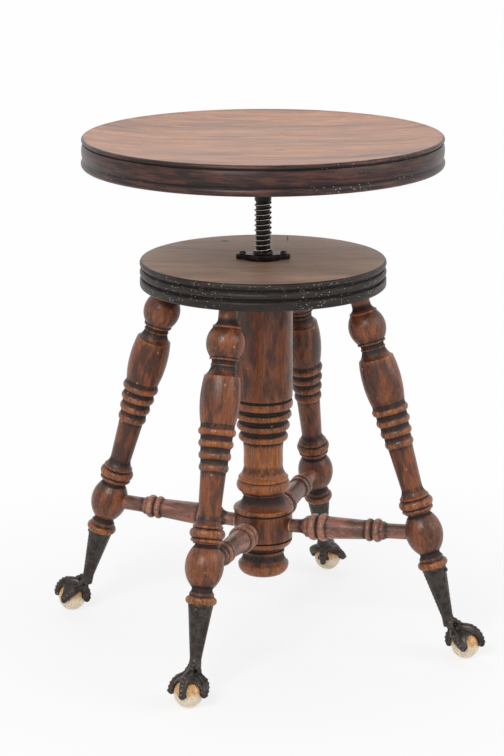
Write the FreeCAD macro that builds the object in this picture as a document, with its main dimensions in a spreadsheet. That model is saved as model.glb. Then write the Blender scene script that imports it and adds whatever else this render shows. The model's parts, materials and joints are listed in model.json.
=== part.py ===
import FreeCAD, Part
import math
import os
import Sketcher

# A revolving piano stool: a round dished seat on a coarse lead screw, a moulded
# platform that holds the nut, a turned centre column, four raked turned legs tied to
# the column by turned stretchers, and cast claw feet that grip glass balls.
# Millimetres, +Z up, origin on the floor under the centre of the seat.

Vector = FreeCAD.Vector
Rotation = FreeCAD.Rotation
X_AXIS = Vector(1, 0, 0)
Y_AXIS = Vector(0, 1, 0)
Z_AXIS = Vector(0, 0, 1)

CORNERS = {
    "front_right": -45,
    "back_right": 45,
    "back_left": 135,
    "front_left": -135,
}

SIZES = {
    # heights of the whole stool, above the floor
    "platform_underside": 367.6,
    "seat_gap": 94.0,
    # seat
    "seat_dia": 358.6,
    "seat_dish_depth": 6.0,
    "seat_flat_dia": 180.0,
    "seat_underside_inset": 3.2,
    "seat_bead_height": 7.4,
    "seat_bead_inset": 2.2,
    "seat_bead_swell": 2.5,
    "seat_fine_groove": 0.9,
    "seat_band_height": 15.6,
    "seat_band_inset": 2.0,
    "seat_band_swell": 1.2,
    "seat_groove_height": 2.2,
    "seat_groove_depth": 3.8,
    "seat_lip_height": 2.9,
    "seat_lip_inset": 1.0,
    "seat_lip_swell": 1.8,
    "seat_edge_inset": 5.0,
    # cast plate under the seat
    "seat_plate_thick": 5.0,
    "seat_plate_hub_dia": 44.0,
    "seat_plate_nose_dia": 27.0,
    "seat_plate_nose": 11.0,
    "seat_plate_arm_reach": 62.0,
    "seat_plate_arm_root": 26.0,
    "seat_plate_arm_end": 17.0,
    "seat_plate_rib_thick": 5.0,
    "seat_plate_rib_depth": 7.0,
    "seat_plate_rib_reach": 48.0,
    "seat_screw_dia": 4.2,
    "seat_screw_head_dia": 8.4,
    "seat_screw_head": 2.6,
    "seat_screw_length": 17.0,
    # lead screw
    "thread_dia": 17.6,
    "thread_pitch": 5.08,
    "turns_up": 10.0,
    "turns_down": 9.75,
    "shank_dia": 16.8,
    "shank_length": 19.5,
    "rivet_neck_dia": 14.0,
    "rivet_head_dia": 20.0,
    "rivet_head": 3.0,
    "spigot_dia": 12.0,
    "spigot_length": 13.0,
    "stop_clearance": 0.5,
    "screw_chamfer": 0.75,
    # stop washer and its cross pin
    "washer_dia": 27.4,
    "washer_thick": 4.0,
    "pin_dia": 4.0,
    "pin_length": 22.0,
    # nut plate on the platform
    "nut_plate_thick": 5.4,
    "nut_plate_waist_radius": 14.0,
    "nut_plate_end_radius": 6.6,
    "nut_plate_screw_offset": 20.4,
    "nut_plate_turn": -25.6,
    "nut_boss_dia": 21.0,
    "nut_boss": 2.6,
    "nut_boss_taper": 0.8,
    "nut_hub_dia": 28.0,
    "nut_hub": 24.4,
    "nut_screw_dia": 4.2,
    "nut_screw_head_dia": 7.0,
    "nut_screw_head": 2.4,
    "nut_screw_length": 15.0,
    # platform
    "platform_dia": 245.6,
    "platform_lower_bead": 8.9,
    "platform_corner": 2.8,
    "platform_groove": 2.8,
    "platform_groove_depth": 4.0,
    "platform_middle_bead": 6.2,
    "platform_upper_bead": 6.2,
    "platform_bead_inset": 1.5,
    "platform_bead_swell": 1.5,
    # column
    "column_foot_height": 66.0,
    "column_tenon_dia": 46.0,
    "column_tenon": 12.0,
    "bore_dia": 28.6,
    "bore_depth": 118.0,
    "column_foot_dia": 37.0,
    "column_bell_dia": 51.4,
    "column_bell_round": 11.4,
    "column_bell_bulge": 2.6,
    "column_bell_flare": 11.6,
    "column_bell_neck_dia": 41.8,
    "column_bell_hollow": 1.6,
    "column_fillet_dia": 43.4,
    "column_fillet": 2.6,
    "column_barrel_groove": 1.8,
    "column_barrel_foot_dia": 41.0,
    "column_bowl_foot_dia": 44.8,
    "column_bowl_foot": 1.6,
    "column_bowl_groove_dia": 55.0,
    "column_bowl_groove": 1.7,
    "column_barrel_round": 8.0,
    "column_barrel_dia": 59.4,
    "column_barrel_bulge": 1.7,
    "column_barrel": 26.6,
    "column_line_dia": 57.2,
    "column_line": 1.4,
    "column_shoulder": 5.0,
    "column_shoulder_dia": 60.2,
    "column_shoulder_top_dia": 58.4,
    "column_ogee_dia": 56.2,
    "column_ogee": 10.6,
    "column_neck_dia": 40.6,
    "column_ogee_hollow": 1.5,
    "column_neck": 3.2,
    "column_collar_dia": 44.4,
    "column_collar": 2.2,
    "column_ring": 12.6,
    "column_ring_dia": 54.6,
    "column_ring_edge_dia": 48.4,
    "column_edge_dia": 51.0,
    "column_edge": 2.4,
    "column_flare": 15.6,
    "column_flare_hollow": 2.2,
    "column_waist_dia": 40.2,
    "column_waist": 23.4,
    "column_waist_top_dia": 41.6,
    "column_waist_hollow": 0.5,
    "column_bead_count": 3,
    "column_bead": 6.6,
    "column_bead_gap": 4.4,
    "column_bead_low_dia": 50.4,
    "column_bead_growth": 3.6,
    "column_core_low_dia": 45.8,
    "column_core_growth": 3.2,
    "column_band": 6.2,
    "column_band_dia": 59.8,
    "column_top_groove": 2.8,
    "column_top_groove_dia": 55.0,
    "column_top_dia": 59.4,
    # legs, turned sizes from the claw foot upwards
    "leg_rake": 16.6,
    "leg_root_radius": 98.5,
    "leg_mortise_depth": 18.0,
    "leg_foot_tenon": 34.0,
    "leg_foot_tenon_tip_dia": 9.6,
    "leg_foot_tenon_dia": 19.0,
    "leg_foot_ring": 8.0,
    "leg_foot_ring_dia": 30.4,
    "leg_foot_ring_edge_dia": 24.6,
    "leg_ledge_dia": 24.2,
    "leg_ledge": 3.0,
    "leg_ankle": 5.0,
    "leg_ankle_dia": 20.4,
    "leg_low_ball": 40.6,
    "leg_low_ball_dia": 37.6,
    "leg_knee_dia": 22.4,
    "leg_knee": 1.6,
    "leg_knee_fillet_dia": 26.6,
    "leg_knee_fillet": 1.8,
    "leg_small_bead": 3.6,
    "leg_small_bead_dia": 31.8,
    "leg_small_bead_edge_dia": 29.4,
    "leg_big_bead": 9.4,
    "leg_big_bead_dia": 34.6,
    "leg_cuff_dia": 29.6,
    "leg_cuff": 1.9,
    "leg_cuff_groove": 0.6,
    "leg_cuff_groove_depth": 1.0,
    "leg_cuff_flare": 10.4,
    "leg_cuff_hollow": 1.3,
    "leg_shaft_low_dia": 21.6,
    "leg_shaft_top_dia": 24.9,
    "leg_bead_count": 4,
    "leg_bead": 7.4,
    "leg_bead_gap": 4.2,
    "leg_bead_low_dia": 29.0,
    "leg_bead_growth": 2.6,
    "leg_core_growth": 2.1,
    "leg_vase": 46.2,
    "leg_vase_dia": 39.0,
    "leg_vase_low_dia": 34.0,
    "leg_vase_top_dia": 34.6,
    "leg_vase_lip": 0.8,
    "leg_throat": 9.4,
    "leg_throat_hollow": 0.8,
    "leg_throat_dia": 23.4,
    "leg_throat_ring_dia": 25.0,
    "leg_throat_ring": 1.5,
    "leg_throat_neck": 4.2,
    "leg_ball_fillet_dia": 28.4,
    "leg_ball_fillet": 2.0,
    "leg_top_ball": 29.0,
    "leg_top_ball_dia": 37.4,
    "leg_top_ball_edge_dia": 26.8,
    "leg_crown_dia": 27.6,
    "leg_crown": 1.9,
    "leg_crown_flare": 5.0,
    "leg_crown_hollow": 0.8,
    "leg_neck_dia": 18.8,
    "leg_neck": 15.0,
    # stretchers, turned sizes from the column outwards
    "stretcher_height": 117.4,
    "stretcher_column_depth": 17.8,
    "stretcher_leg_stop": 4.5,
    "stretcher_inner_neck": 28.0,
    "stretcher_inner_dia": 13.8,
    "stretcher_inner_flare": 7.4,
    "stretcher_inner_hollow": 0.9,
    "stretcher_shoulder_dia": 21.8,
    "stretcher_shoulder": 3.2,
    "stretcher_inner_core_dia": 22.4,
    "stretcher_bead_one": 8.8,
    "stretcher_bead_one_dia": 27.6,
    "stretcher_bead_gap": 1.6,
    "stretcher_bead_two": 8.6,
    "stretcher_bead_two_dia": 28.4,
    "stretcher_barrel_dia": 23.0,
    "stretcher_barrel": 41.4,
    "stretcher_barrel_end_dia": 19.2,
    "stretcher_outer_core_dia": 19.8,
    "stretcher_bead_three": 6.2,
    "stretcher_bead_three_dia": 23.5,
    "stretcher_bead_four": 7.4,
    "stretcher_bead_four_dia": 24.0,
    "stretcher_outer_ledge_dia": 18.8,
    "stretcher_outer_ledge": 3.0,
    "stretcher_outer_flare": 4.4,
    "stretcher_outer_hollow": 0.5,
    "stretcher_outer_dia": 15.3,
    # claw feet
    "claw_height": 91.4,
    "ball_dia": 28.7,
    "ball_flat_dia": 6.0,
    "ball_throw": 34.2,
    "ferrule_length": 52.0,
    "ferrule_top_dia": 24.9,
    "ferrule_ankle_dia": 11.4,
    "ankle_length": 10.0,
    "palm_dia": 12.6,
    "web_thick": 2.8,
    "web_arch_dia": 16.4,
    "web_arch_rise": 4.4,
    "talon_root_dia": 9.4,
    "talon_tip_dia": 5.6,
    "talon_knuckle": 0.55,
    "talon_knuckles": 3,
    "talon_root_gap": 5.2,
    "talon_tip_gap": 3.0,
    "talon_reach": 90.0,
    "talon_tip_lean": 8.5,
    "side_talon_swing": 82.0,
    "nail_dia": 2.0,
    "nail_length": 11.0,
    "nail_head_dia": 4.4,
    "nail_head": 1.3,
    "nail_drop": 4.6,
    # clearances
    "joint_clearance": 0.1,
    "screw_clearance": 0.08,
    "running_clearance": 0.09,
    "socket_clearance": 0.15,
    "ball_clearance": 0.03,
}


class Size:
    """A number together with the sheet expression that gives it."""

    def __init__(self, value, text):
        self.value = value
        self.text = text

    def __add__(self, other):
        other = as_size(other)
        return Size(self.value + other.value, f"({self.text} + {other.text})")

    def __sub__(self, other):
        other = as_size(other)
        return Size(self.value - other.value, f"({self.text} - {other.text})")

    def __mul__(self, other):
        other = as_size(other)
        return Size(self.value * other.value, f"({self.text} * {other.text})")

    def __truediv__(self, other):
        other = as_size(other)
        return Size(self.value / other.value, f"({self.text} / {other.text})")

    def __neg__(self):
        return Size(-self.value, f"(-1 * {self.text})")


def as_size(number):
    if isinstance(number, Size):
        return number
    return Size(number, repr(number))


def sine(angle):
    angle = as_size(angle)
    return Size(math.sin(math.radians(angle.value)), f"sin({angle.text})")


def cosine(angle):
    angle = as_size(angle)
    return Size(math.cos(math.radians(angle.value)), f"cos({angle.text})")


class SizeSheet:
    """The spreadsheet of driving dimensions; each one reads as an attribute."""

    def __init__(self, document, sizes):
        self.sizes = sizes
        self.sheet = document.addObject("Spreadsheet::Sheet", "Sizes")
        for row, (name, value) in enumerate(sizes.items(), start=1):
            self.sheet.set(f"A{row}", name)
            self.sheet.set(f"B{row}", str(value))
            self.sheet.setAlias(f"B{row}", name)

    def __getattr__(self, name):
        return Size(self.sizes[name], f"Sizes.{name}")


doc = FreeCAD.newDocument("revolving_piano_stool")
S = SizeSheet(doc, SIZES)
doc.recompute()


def bind(item, **sizes):
    """Set properties of an object and tie them to the sheet."""
    for name, size in sizes.items():
        size = as_size(size)
        setattr(item, name, size.value)
        item.setExpression(name, size.text)


def place(item, x=0, y=0, z=0, rotation=Rotation()):
    """Put an object at a point whose coordinates are tied to the sheet."""
    spots = {"x": as_size(x), "y": as_size(y), "z": as_size(z)}
    base = Vector(spots["x"].value, spots["y"].value, spots["z"].value)
    item.Placement = FreeCAD.Placement(base, rotation)
    for axis, size in spots.items():
        item.setExpression(f"Placement.Base.{axis}", size.text)


def place_radially(item, corner, out, up, tilt):
    """Put an object at a distance out from the stool's axis, tilted in the radial plane."""
    out = as_size(out)
    spin = Rotation(Z_AXIS, corner) * Rotation(Y_AXIS, tilt)
    place(item, out * cosine(corner), out * sine(corner), up, spin)


def origin_plane(body, role):
    return next(item for item in body.Origin.OriginFeatures if item.Role == role)


def new_body(label):
    body = doc.addObject("PartDesign::Body", label)
    body.Label = label
    return body


def new_sketch(body, name, role):
    sketch = body.newObject("Sketcher::SketchObject", name)
    sketch.AttachmentSupport = (origin_plane(body, role), [""])
    sketch.MapMode = "FlatFace"
    return sketch


class Turning:
    """A lathe-turned piece: half its outline is drawn from the lower end upwards."""

    def __init__(self, label):
        self.label = label
        self.points = [(0.0, 0.0)]
        self.places = [("axis", None, None)]
        self.bulges = []

    def last(self):
        return self.points[-1]

    def add(self, dia, rise, bulge, kind):
        """One more stretch of the outline, up to a new diameter."""
        dia = as_size(dia)
        x, y = self.last()
        height = y if rise is None else y + rise.value
        if kind == "from_end":
            height = rise.value
        self.points.append((dia.value / 2, height))
        self.places.append((kind, dia, rise))
        self.bulges.append(bulge)

    def step(self, dia):
        """A flat shoulder, square to the axis."""
        self.add(dia, None, None, "level")

    def run(self, length, dia):
        """A straight stretch: a cylinder or a cone."""
        self.add(dia, as_size(length), None, "rise")

    def run_to(self, height, dia):
        """A straight stretch up to a height above the lower end."""
        self.add(dia, as_size(height), None, "from_end")

    def bead(self, length, dia, widest):
        """A rounded swelling, measured across its widest place."""
        start = Size(2 * self.last()[0], self.places[-1][1].text)
        bulge = as_size(widest) / 2 - (start + dia) / 4
        self.add(dia, as_size(length), bulge, "rise")

    def swell(self, length, dia, bulge):
        self.add(dia, as_size(length), as_size(bulge), "rise")

    def cove(self, length, dia, hollow):
        """A stretch hollowed into the wood."""
        self.add(dia, as_size(length), -as_size(hollow), "rise")

    def dish(self, depth, dia, hollow):
        """A hollow that goes down and inwards, from a rim to a smaller diameter."""
        self.add(dia, -as_size(depth), -as_size(hollow), "fall")

    def to_axis(self):
        x, y = self.last()
        self.points.append((0.0, y))
        self.places.append(("axis_level", None, None))
        self.bulges.append(None)

    def draw(self, sketch):
        """Draw the outline and dimension it from the sheet."""
        corners = [Vector(x, y, 0) for x, y in self.points]
        geometry = []
        ends = []
        for number, bulge in enumerate(self.bulges):
            start = corners[number]
            finish = corners[number + 1]
            if bulge is None:
                geometry.append(Part.LineSegment(start, finish))
                ends.append((1, 2))
            else:
                geometry.append(arc_between(start, finish, bulge.value))
                ends.append((1, 2) if bulge.value > 0 else (2, 1))
        geometry.append(Part.LineSegment(corners[-1], corners[0]))
        ends.append((1, 2))
        sketch.addGeometry(geometry, False)
        origin = (-1, 1)
        rules = []
        sizes = []
        for number in range(len(geometry)):
            following = (number + 1) % len(geometry)
            joint = (number, ends[number][1], following, ends[following][0])
            rules.append(Sketcher.Constraint("Coincident", *joint))
        for number, (kind, dia, rise) in enumerate(self.places):
            here = (number, ends[number][0])
            before = (number - 1, ends[number - 1][0])
            if kind == "axis":
                rules.append(Sketcher.Constraint("Coincident", *here, *origin))
                continue
            if kind in ("level", "axis_level"):
                rules.append(Sketcher.Constraint("Horizontal", number - 1))
            if kind == "axis_level":
                rules.append(Sketcher.Constraint("PointOnObject", *here, -2))
                continue
            radius = dia / 2
            sizes.append(("DistanceX", origin, here, radius))
            if kind == "rise":
                sizes.append(("DistanceY", before, here, rise))
            if kind == "fall":
                sizes.append(("DistanceY", here, before, -rise))
            if kind == "from_end":
                sizes.append(("DistanceY", origin, here, rise))
        sketch.addConstraint(rules)
        for kind, start, finish, size in sizes:
            spot = sketch.addConstraint(
                Sketcher.Constraint(kind, *start, *finish, size.value)
            )
            sketch.setExpression(f"Constraints[{spot}]", size.text)
        for number, bulge in enumerate(self.bulges):
            if bulge is None:
                continue
            radius = self.arc_radius(number)
            spot = sketch.addConstraint(
                Sketcher.Constraint("Radius", number, radius.value)
            )
            sketch.setExpression(f"Constraints[{spot}]", radius.text)

    def arc_radius(self, number):
        """Radius of the arc with this stretch's chord and bulge."""
        start_dia = self.places[number][1]
        kind, dia, rise = self.places[number + 1]
        half = (dia - start_dia) / 2
        depth = self.bulges[number]
        if depth.value < 0:
            depth = -depth
        return (half * half + rise * rise) / (depth * 8) + depth / 2

    def spin(self):
        """Make the body and turn the outline about its axis."""
        body = new_body(self.label)
        sketch = new_sketch(body, f"{self.label}_outline", "XZ_Plane")
        self.draw(sketch)
        turned = body.newObject("PartDesign::Revolution", f"{self.label}_turned")
        turned.Profile = sketch
        turned.ReferenceAxis = (sketch, ["V_Axis"])
        turned.Angle = 360
        return body


def arc_between(start, finish, bulge):
    """The arc that stands off its chord by bulge, outwards where that is positive."""
    chord = finish - start
    half = chord.Length / 2
    radius = half * half / (2 * abs(bulge)) + abs(bulge) / 2
    outwards = Vector(chord.y, -chord.x, 0)
    outwards.normalize()
    middle = (start + finish) * 0.5
    side = 1 if bulge > 0 else -1
    centre = middle - outwards * side * (radius - abs(bulge))
    first = start if bulge > 0 else finish
    final = finish if bulge > 0 else start
    begin = math.atan2(first.y - centre.y, first.x - centre.x)
    end = math.atan2(final.y - centre.y, final.x - centre.x)
    if end < begin:
        end += 2 * math.pi
    return Part.ArcOfCircle(Part.Circle(centre, Z_AXIS, radius), begin, end)


def drill(body, name, dia, depth, x=0, z=0, y=0, tilt=0):
    """Cut a round hole that starts at a point and runs along the tilted Z axis."""
    hole = body.newObject("PartDesign::SubtractiveCylinder", name)
    bind(hole, Radius=dia / 2, Height=depth)
    place(hole, x, y, z, Rotation(Y_AXIS, tilt))
    return hole


def repeat_round(body, feature, name, count):
    """Repeat a feature of a body evenly about its Z axis."""
    pattern = body.newObject("PartDesign::PolarPattern", name)
    pattern.Originals = [feature]
    pattern.Axis = (origin_plane(body, "Z_Axis"), [""])
    pattern.Angle = 360
    pattern.Occurrences = count
    body.Tip = pattern
    return pattern


# Heights and lengths that several pieces share.

platform_thick = (
    S.platform_lower_bead
    + S.platform_middle_bead
    + S.platform_upper_bead
    + S.platform_groove * 2
)
platform_top = S.platform_underside + platform_thick
column_length = S.platform_underside - S.column_foot_height
seat_underside = platform_top + S.seat_gap
seat_thick = (
    S.seat_bead_height
    + S.seat_fine_groove
    + S.seat_band_height
    + S.seat_groove_height
    + S.seat_lip_height
)
plate_underside = seat_underside - S.seat_plate_thick
nose_underside = plate_underside - S.seat_plate_nose
thread_top = nose_underside - S.shank_length
nut_bottom = platform_top - S.nut_hub
travel_up = S.turns_up * S.thread_pitch
washer_top = nut_bottom - travel_up - S.stop_clearance
screw_end = washer_top - S.spigot_length
pin_height = washer_top - S.washer_thick - S.pin_dia / 2 - S.running_clearance * 2

# Along the leg: its axis crosses the platform's underside at leg_root_radius.

rake_sine = sine(S.leg_rake)
rake_cosine = cosine(S.leg_rake)
leg_length = (S.platform_underside - S.claw_height) / rake_cosine
leg_below_shaft = (
    S.leg_foot_ring
    + S.leg_ledge
    + S.leg_ankle
    + S.leg_low_ball
    + S.leg_knee
    + S.leg_knee_fillet
    + S.leg_small_bead
    + S.leg_big_bead
    + S.leg_cuff_groove
    + S.leg_cuff
    + S.leg_cuff_flare
)
leg_above_shaft = (
    (S.leg_bead + S.leg_bead_gap) * S.leg_bead_count
    + S.leg_vase
    + S.leg_throat
    + S.leg_throat_ring
    + S.leg_throat_neck
    + S.leg_ball_fillet
    + S.leg_top_ball
    + S.leg_crown
    + S.leg_crown_flare
    + S.leg_neck
)
leg_shaft = leg_length - leg_below_shaft - leg_above_shaft
shoulder_radius = S.leg_root_radius + leg_length * rake_sine
low_ball_above_shoulder = (
    S.leg_foot_ring + S.leg_ledge + S.leg_ankle + S.leg_low_ball / 2
)
low_ball_radius = shoulder_radius - low_ball_above_shoulder * rake_sine
low_ball_height = S.claw_height + low_ball_above_shoulder * rake_cosine
stretcher_slope = math.degrees(
    math.atan2(low_ball_height.value - S.stretcher_height.value, low_ball_radius.value)
)


def make_seat():
    """Round seat with a beaded rim and a shallow dish with a flat middle."""
    seat = Turning("seat")
    neck_dia = S.seat_dia - S.seat_bead_inset * 2
    band_dia = S.seat_dia - S.seat_band_inset * 2
    groove_dia = S.seat_dia - S.seat_groove_depth * 2
    seat.step(S.seat_dia - S.seat_underside_inset * 2)
    seat.swell(S.seat_bead_height, neck_dia, S.seat_bead_swell)
    seat.run(S.seat_fine_groove, neck_dia)
    seat.step(band_dia)
    seat.swell(S.seat_band_height, band_dia, S.seat_band_swell)
    seat.step(groove_dia)
    seat.run(S.seat_groove_height, groove_dia)
    seat.step(S.seat_dia - S.seat_lip_inset * 2)
    seat.swell(
        S.seat_lip_height, S.seat_dia - S.seat_edge_inset * 2, S.seat_lip_swell
    )
    seat.dish(S.seat_dish_depth, S.seat_flat_dia, S.seat_dish_depth / 4)
    seat.to_axis()
    body = seat.spin()
    pilot = drill(
        body,
        "seat_pilot",
        S.seat_screw_dia + S.screw_clearance * 2,
        S.seat_screw_length - S.seat_plate_thick + S.screw_clearance,
        x=S.seat_plate_arm_reach,
    )
    repeat_round(body, pilot, "seat_pilots", 4)
    place(body, z=seat_underside)


def draw_arm(sketch, root, end, inner, outer):
    """A tapering arm along X with a round end; sizes are tied to the sheet."""
    near = inner.value
    far = outer.value
    half_root = root.value / 2
    half_end = end.value / 2
    corners = [
        Vector(near, -half_root, 0),
        Vector(far, -half_end, 0),
        Vector(far, half_end, 0),
        Vector(near, half_root, 0),
    ]
    middle = Vector(far, 0, 0)
    turn = math.pi / 2
    sketch.addGeometry(
        [
            Part.LineSegment(corners[0], corners[1]),
            Part.ArcOfCircle(Part.Circle(middle, Z_AXIS, half_end), -turn, turn),
            Part.LineSegment(corners[2], corners[3]),
            Part.LineSegment(corners[3], corners[0]),
        ],
        False,
    )
    sketch.addConstraint(
        [
            Sketcher.Constraint("Coincident", 0, 2, 1, 1),
            Sketcher.Constraint("Coincident", 1, 2, 2, 1),
            Sketcher.Constraint("Coincident", 2, 2, 3, 1),
            Sketcher.Constraint("Coincident", 3, 2, 0, 1),
            Sketcher.Constraint("Symmetric", 0, 1, 2, 2, -1),
            Sketcher.Constraint("Symmetric", 0, 2, 2, 1, -1),
            Sketcher.Constraint("Vertical", 0, 2, 1, 3),
        ]
    )
    for rule, size in (
        (Sketcher.Constraint("DistanceX", -1, 1, 0, 1, near), inner),
        (Sketcher.Constraint("DistanceX", -1, 1, 1, 3, far), outer),
        (Sketcher.Constraint("DistanceY", 3, 2, 3, 1, root.value), root),
        (Sketcher.Constraint("Radius", 1, half_end), end / 2),
    ):
        spot = sketch.addConstraint(rule)
        sketch.setExpression(f"Constraints[{spot}]", size.text)


def make_seat_plate():
    """Cast spider screwed under the seat, with the lead screw riveted into its hub."""
    hub = Turning("seat_plate")
    hub.step(S.seat_plate_nose_dia)
    hub.cove(S.seat_plate_nose, S.seat_plate_hub_dia, S.seat_plate_nose / 5)
    hub.run(S.seat_plate_thick, S.seat_plate_hub_dia)
    hub.to_axis()
    body = hub.spin()
    sketch = new_sketch(body, "seat_plate_arm_outline", "XY_Plane")
    draw_arm(
        sketch,
        S.seat_plate_arm_root,
        S.seat_plate_arm_end,
        S.seat_plate_nose_dia / 4,
        S.seat_plate_arm_reach,
    )
    bind_offset(sketch, S.seat_plate_nose)
    arm = body.newObject("PartDesign::Pad", "seat_plate_arm")
    arm.Profile = sketch
    bind(arm, Length=S.seat_plate_thick)
    repeat_round(body, arm, "seat_plate_arms", 4)
    rib = body.newObject("PartDesign::AdditiveWedge", "seat_plate_rib")
    bind(
        rib,
        Xmin=0,
        X2min=0,
        Xmax=S.seat_plate_rib_reach,
        X2max=S.seat_plate_nose_dia / 3,
        Ymin=0,
        Ymax=S.seat_plate_rib_depth,
        Zmin=0,
        Z2min=0,
        Zmax=S.seat_plate_rib_thick,
        Z2max=S.seat_plate_rib_thick,
    )
    place(
        rib,
        y=-S.seat_plate_rib_thick / 2,
        z=S.seat_plate_nose,
        rotation=Rotation(X_AXIS, -90),
    )
    repeat_round(body, rib, "seat_plate_ribs", 4)
    hole = drill(
        body,
        "seat_plate_hole",
        S.seat_screw_dia + S.screw_clearance * 2,
        S.seat_plate_thick * 3,
        x=S.seat_plate_arm_reach,
        z=S.seat_plate_nose - S.seat_plate_thick,
    )
    repeat_round(body, hole, "seat_plate_holes", 4)
    sink = body.newObject("PartDesign::SubtractiveCone", "seat_plate_sink")
    bind(
        sink,
        Radius1=S.seat_screw_head_dia / 2 + S.screw_clearance,
        Radius2=S.seat_screw_dia / 2 + S.screw_clearance,
        Height=S.seat_screw_head,
    )
    place(sink, x=S.seat_plate_arm_reach, z=S.seat_plate_nose)
    repeat_round(body, sink, "seat_plate_sinks", 4)
    drill(
        body,
        "seat_plate_eye",
        S.rivet_neck_dia + S.screw_clearance * 2,
        S.seat_plate_nose + S.seat_plate_thick,
    )
    mouth = body.newObject("PartDesign::SubtractiveCone", "seat_plate_mouth")
    bind(
        mouth,
        Radius1=S.rivet_neck_dia / 2 + S.screw_clearance,
        Radius2=S.rivet_head_dia / 2 + S.screw_clearance,
        Height=S.rivet_head,
    )
    place(mouth, z=S.seat_plate_nose + S.seat_plate_thick - S.rivet_head)
    place(body, z=nose_underside)


def bind_offset(sketch, up):
    """Lift a sketch off its plane by a sheet size."""
    sketch.AttachmentOffset = FreeCAD.Placement(Vector(0, 0, up.value), Rotation())
    sketch.setExpression("AttachmentOffset.Base.z", up.text)


def make_wood_screw(label, dia, length, head_dia, head, domed):
    """A wood screw standing on its point: head up, domed or countersunk."""
    screw = Turning(label)
    screw.run(dia, dia)
    screw.run_to(length - head, dia)
    if domed:
        screw.step(head_dia)
        screw.swell(head, head_dia / 4, head / 3)
    else:
        screw.run(head, head_dia)
    screw.to_axis()
    return screw.spin()


def make_screw_group(label, make_one, spots):
    """Several like screws as one sub-part."""
    pieces = []
    for number, spot in enumerate(spots, start=1):
        piece = make_one(f"{label}_{number}")
        place(piece, *spot)
        pieces.append(piece)
    group = doc.addObject("Part::Compound", label)
    group.Links = pieces
    group.Label = label
    return group


def make_seat_screws():
    """Four countersunk screws, heads down, that hold the plate to the seat."""

    def one(label):
        return make_wood_screw(
            label,
            S.seat_screw_dia,
            S.seat_screw_length,
            S.seat_screw_head_dia,
            S.seat_screw_head,
            False,
        )

    heads_down = Rotation(X_AXIS, 180)
    tip = plate_underside + S.seat_screw_length
    spots = []
    for angle in range(0, 360, 90):
        reach = S.seat_plate_arm_reach
        spots.append((reach * cosine(angle), reach * sine(angle), tip, heads_down))
    make_screw_group("seat_plate_screws", one, spots)


def make_lead_screw():
    """Lead screw: spigot, threaded length, plain shank and the neck riveted in the plate."""
    screw = Turning("lead_screw")
    screw.step(S.spigot_dia - S.screw_chamfer * 2)
    screw.run(S.screw_chamfer, S.spigot_dia)
    screw.run_to(S.spigot_length, S.spigot_dia)
    screw.step(S.thread_dia - S.screw_chamfer * 2)
    screw.run(S.screw_chamfer, S.thread_dia)
    screw.run_to(thread_top - screw_end, S.thread_dia)
    screw.step(S.shank_dia)
    screw.run(S.shank_length, S.shank_dia)
    screw.step(S.rivet_neck_dia)
    screw.run_to(seat_underside - screw_end - S.rivet_head, S.rivet_neck_dia)
    screw.run(S.rivet_head, S.rivet_head_dia)
    screw.to_axis()
    body = screw.spin()
    drill(
        body,
        "lead_screw_pin_hole",
        S.pin_dia + S.screw_clearance,
        S.pin_length,
        x=-S.pin_length / 2,
        z=pin_height - screw_end,
        tilt=90,
    )
    place(body, z=screw_end)


def make_stop_washer():
    """Loose washer on the spigot: it rises with the screw and doesn't turn."""
    washer = Turning("stop_washer")
    edge = S.washer_thick / 8
    washer.step(S.washer_dia - edge * 2)
    washer.run(edge, S.washer_dia)
    washer.run_to(S.washer_thick - edge, S.washer_dia)
    washer.run(edge, S.washer_dia - edge * 2)
    washer.to_axis()
    body = washer.spin()
    drill(
        body,
        "stop_washer_eye",
        S.spigot_dia + S.running_clearance * 2,
        S.washer_thick,
    )
    place(body, z=washer_top - S.washer_thick - S.running_clearance)


def make_stop_pin():
    """Cross pin through the spigot that keeps the washer on."""
    pin = doc.addObject("Part::Cylinder", "stop_pin")
    pin.Label = "stop_pin"
    bind(pin, Radius=S.pin_dia / 2, Height=S.pin_length)
    place(pin, x=-S.pin_length / 2, z=pin_height, rotation=Rotation(Y_AXIS, 90))


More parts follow.
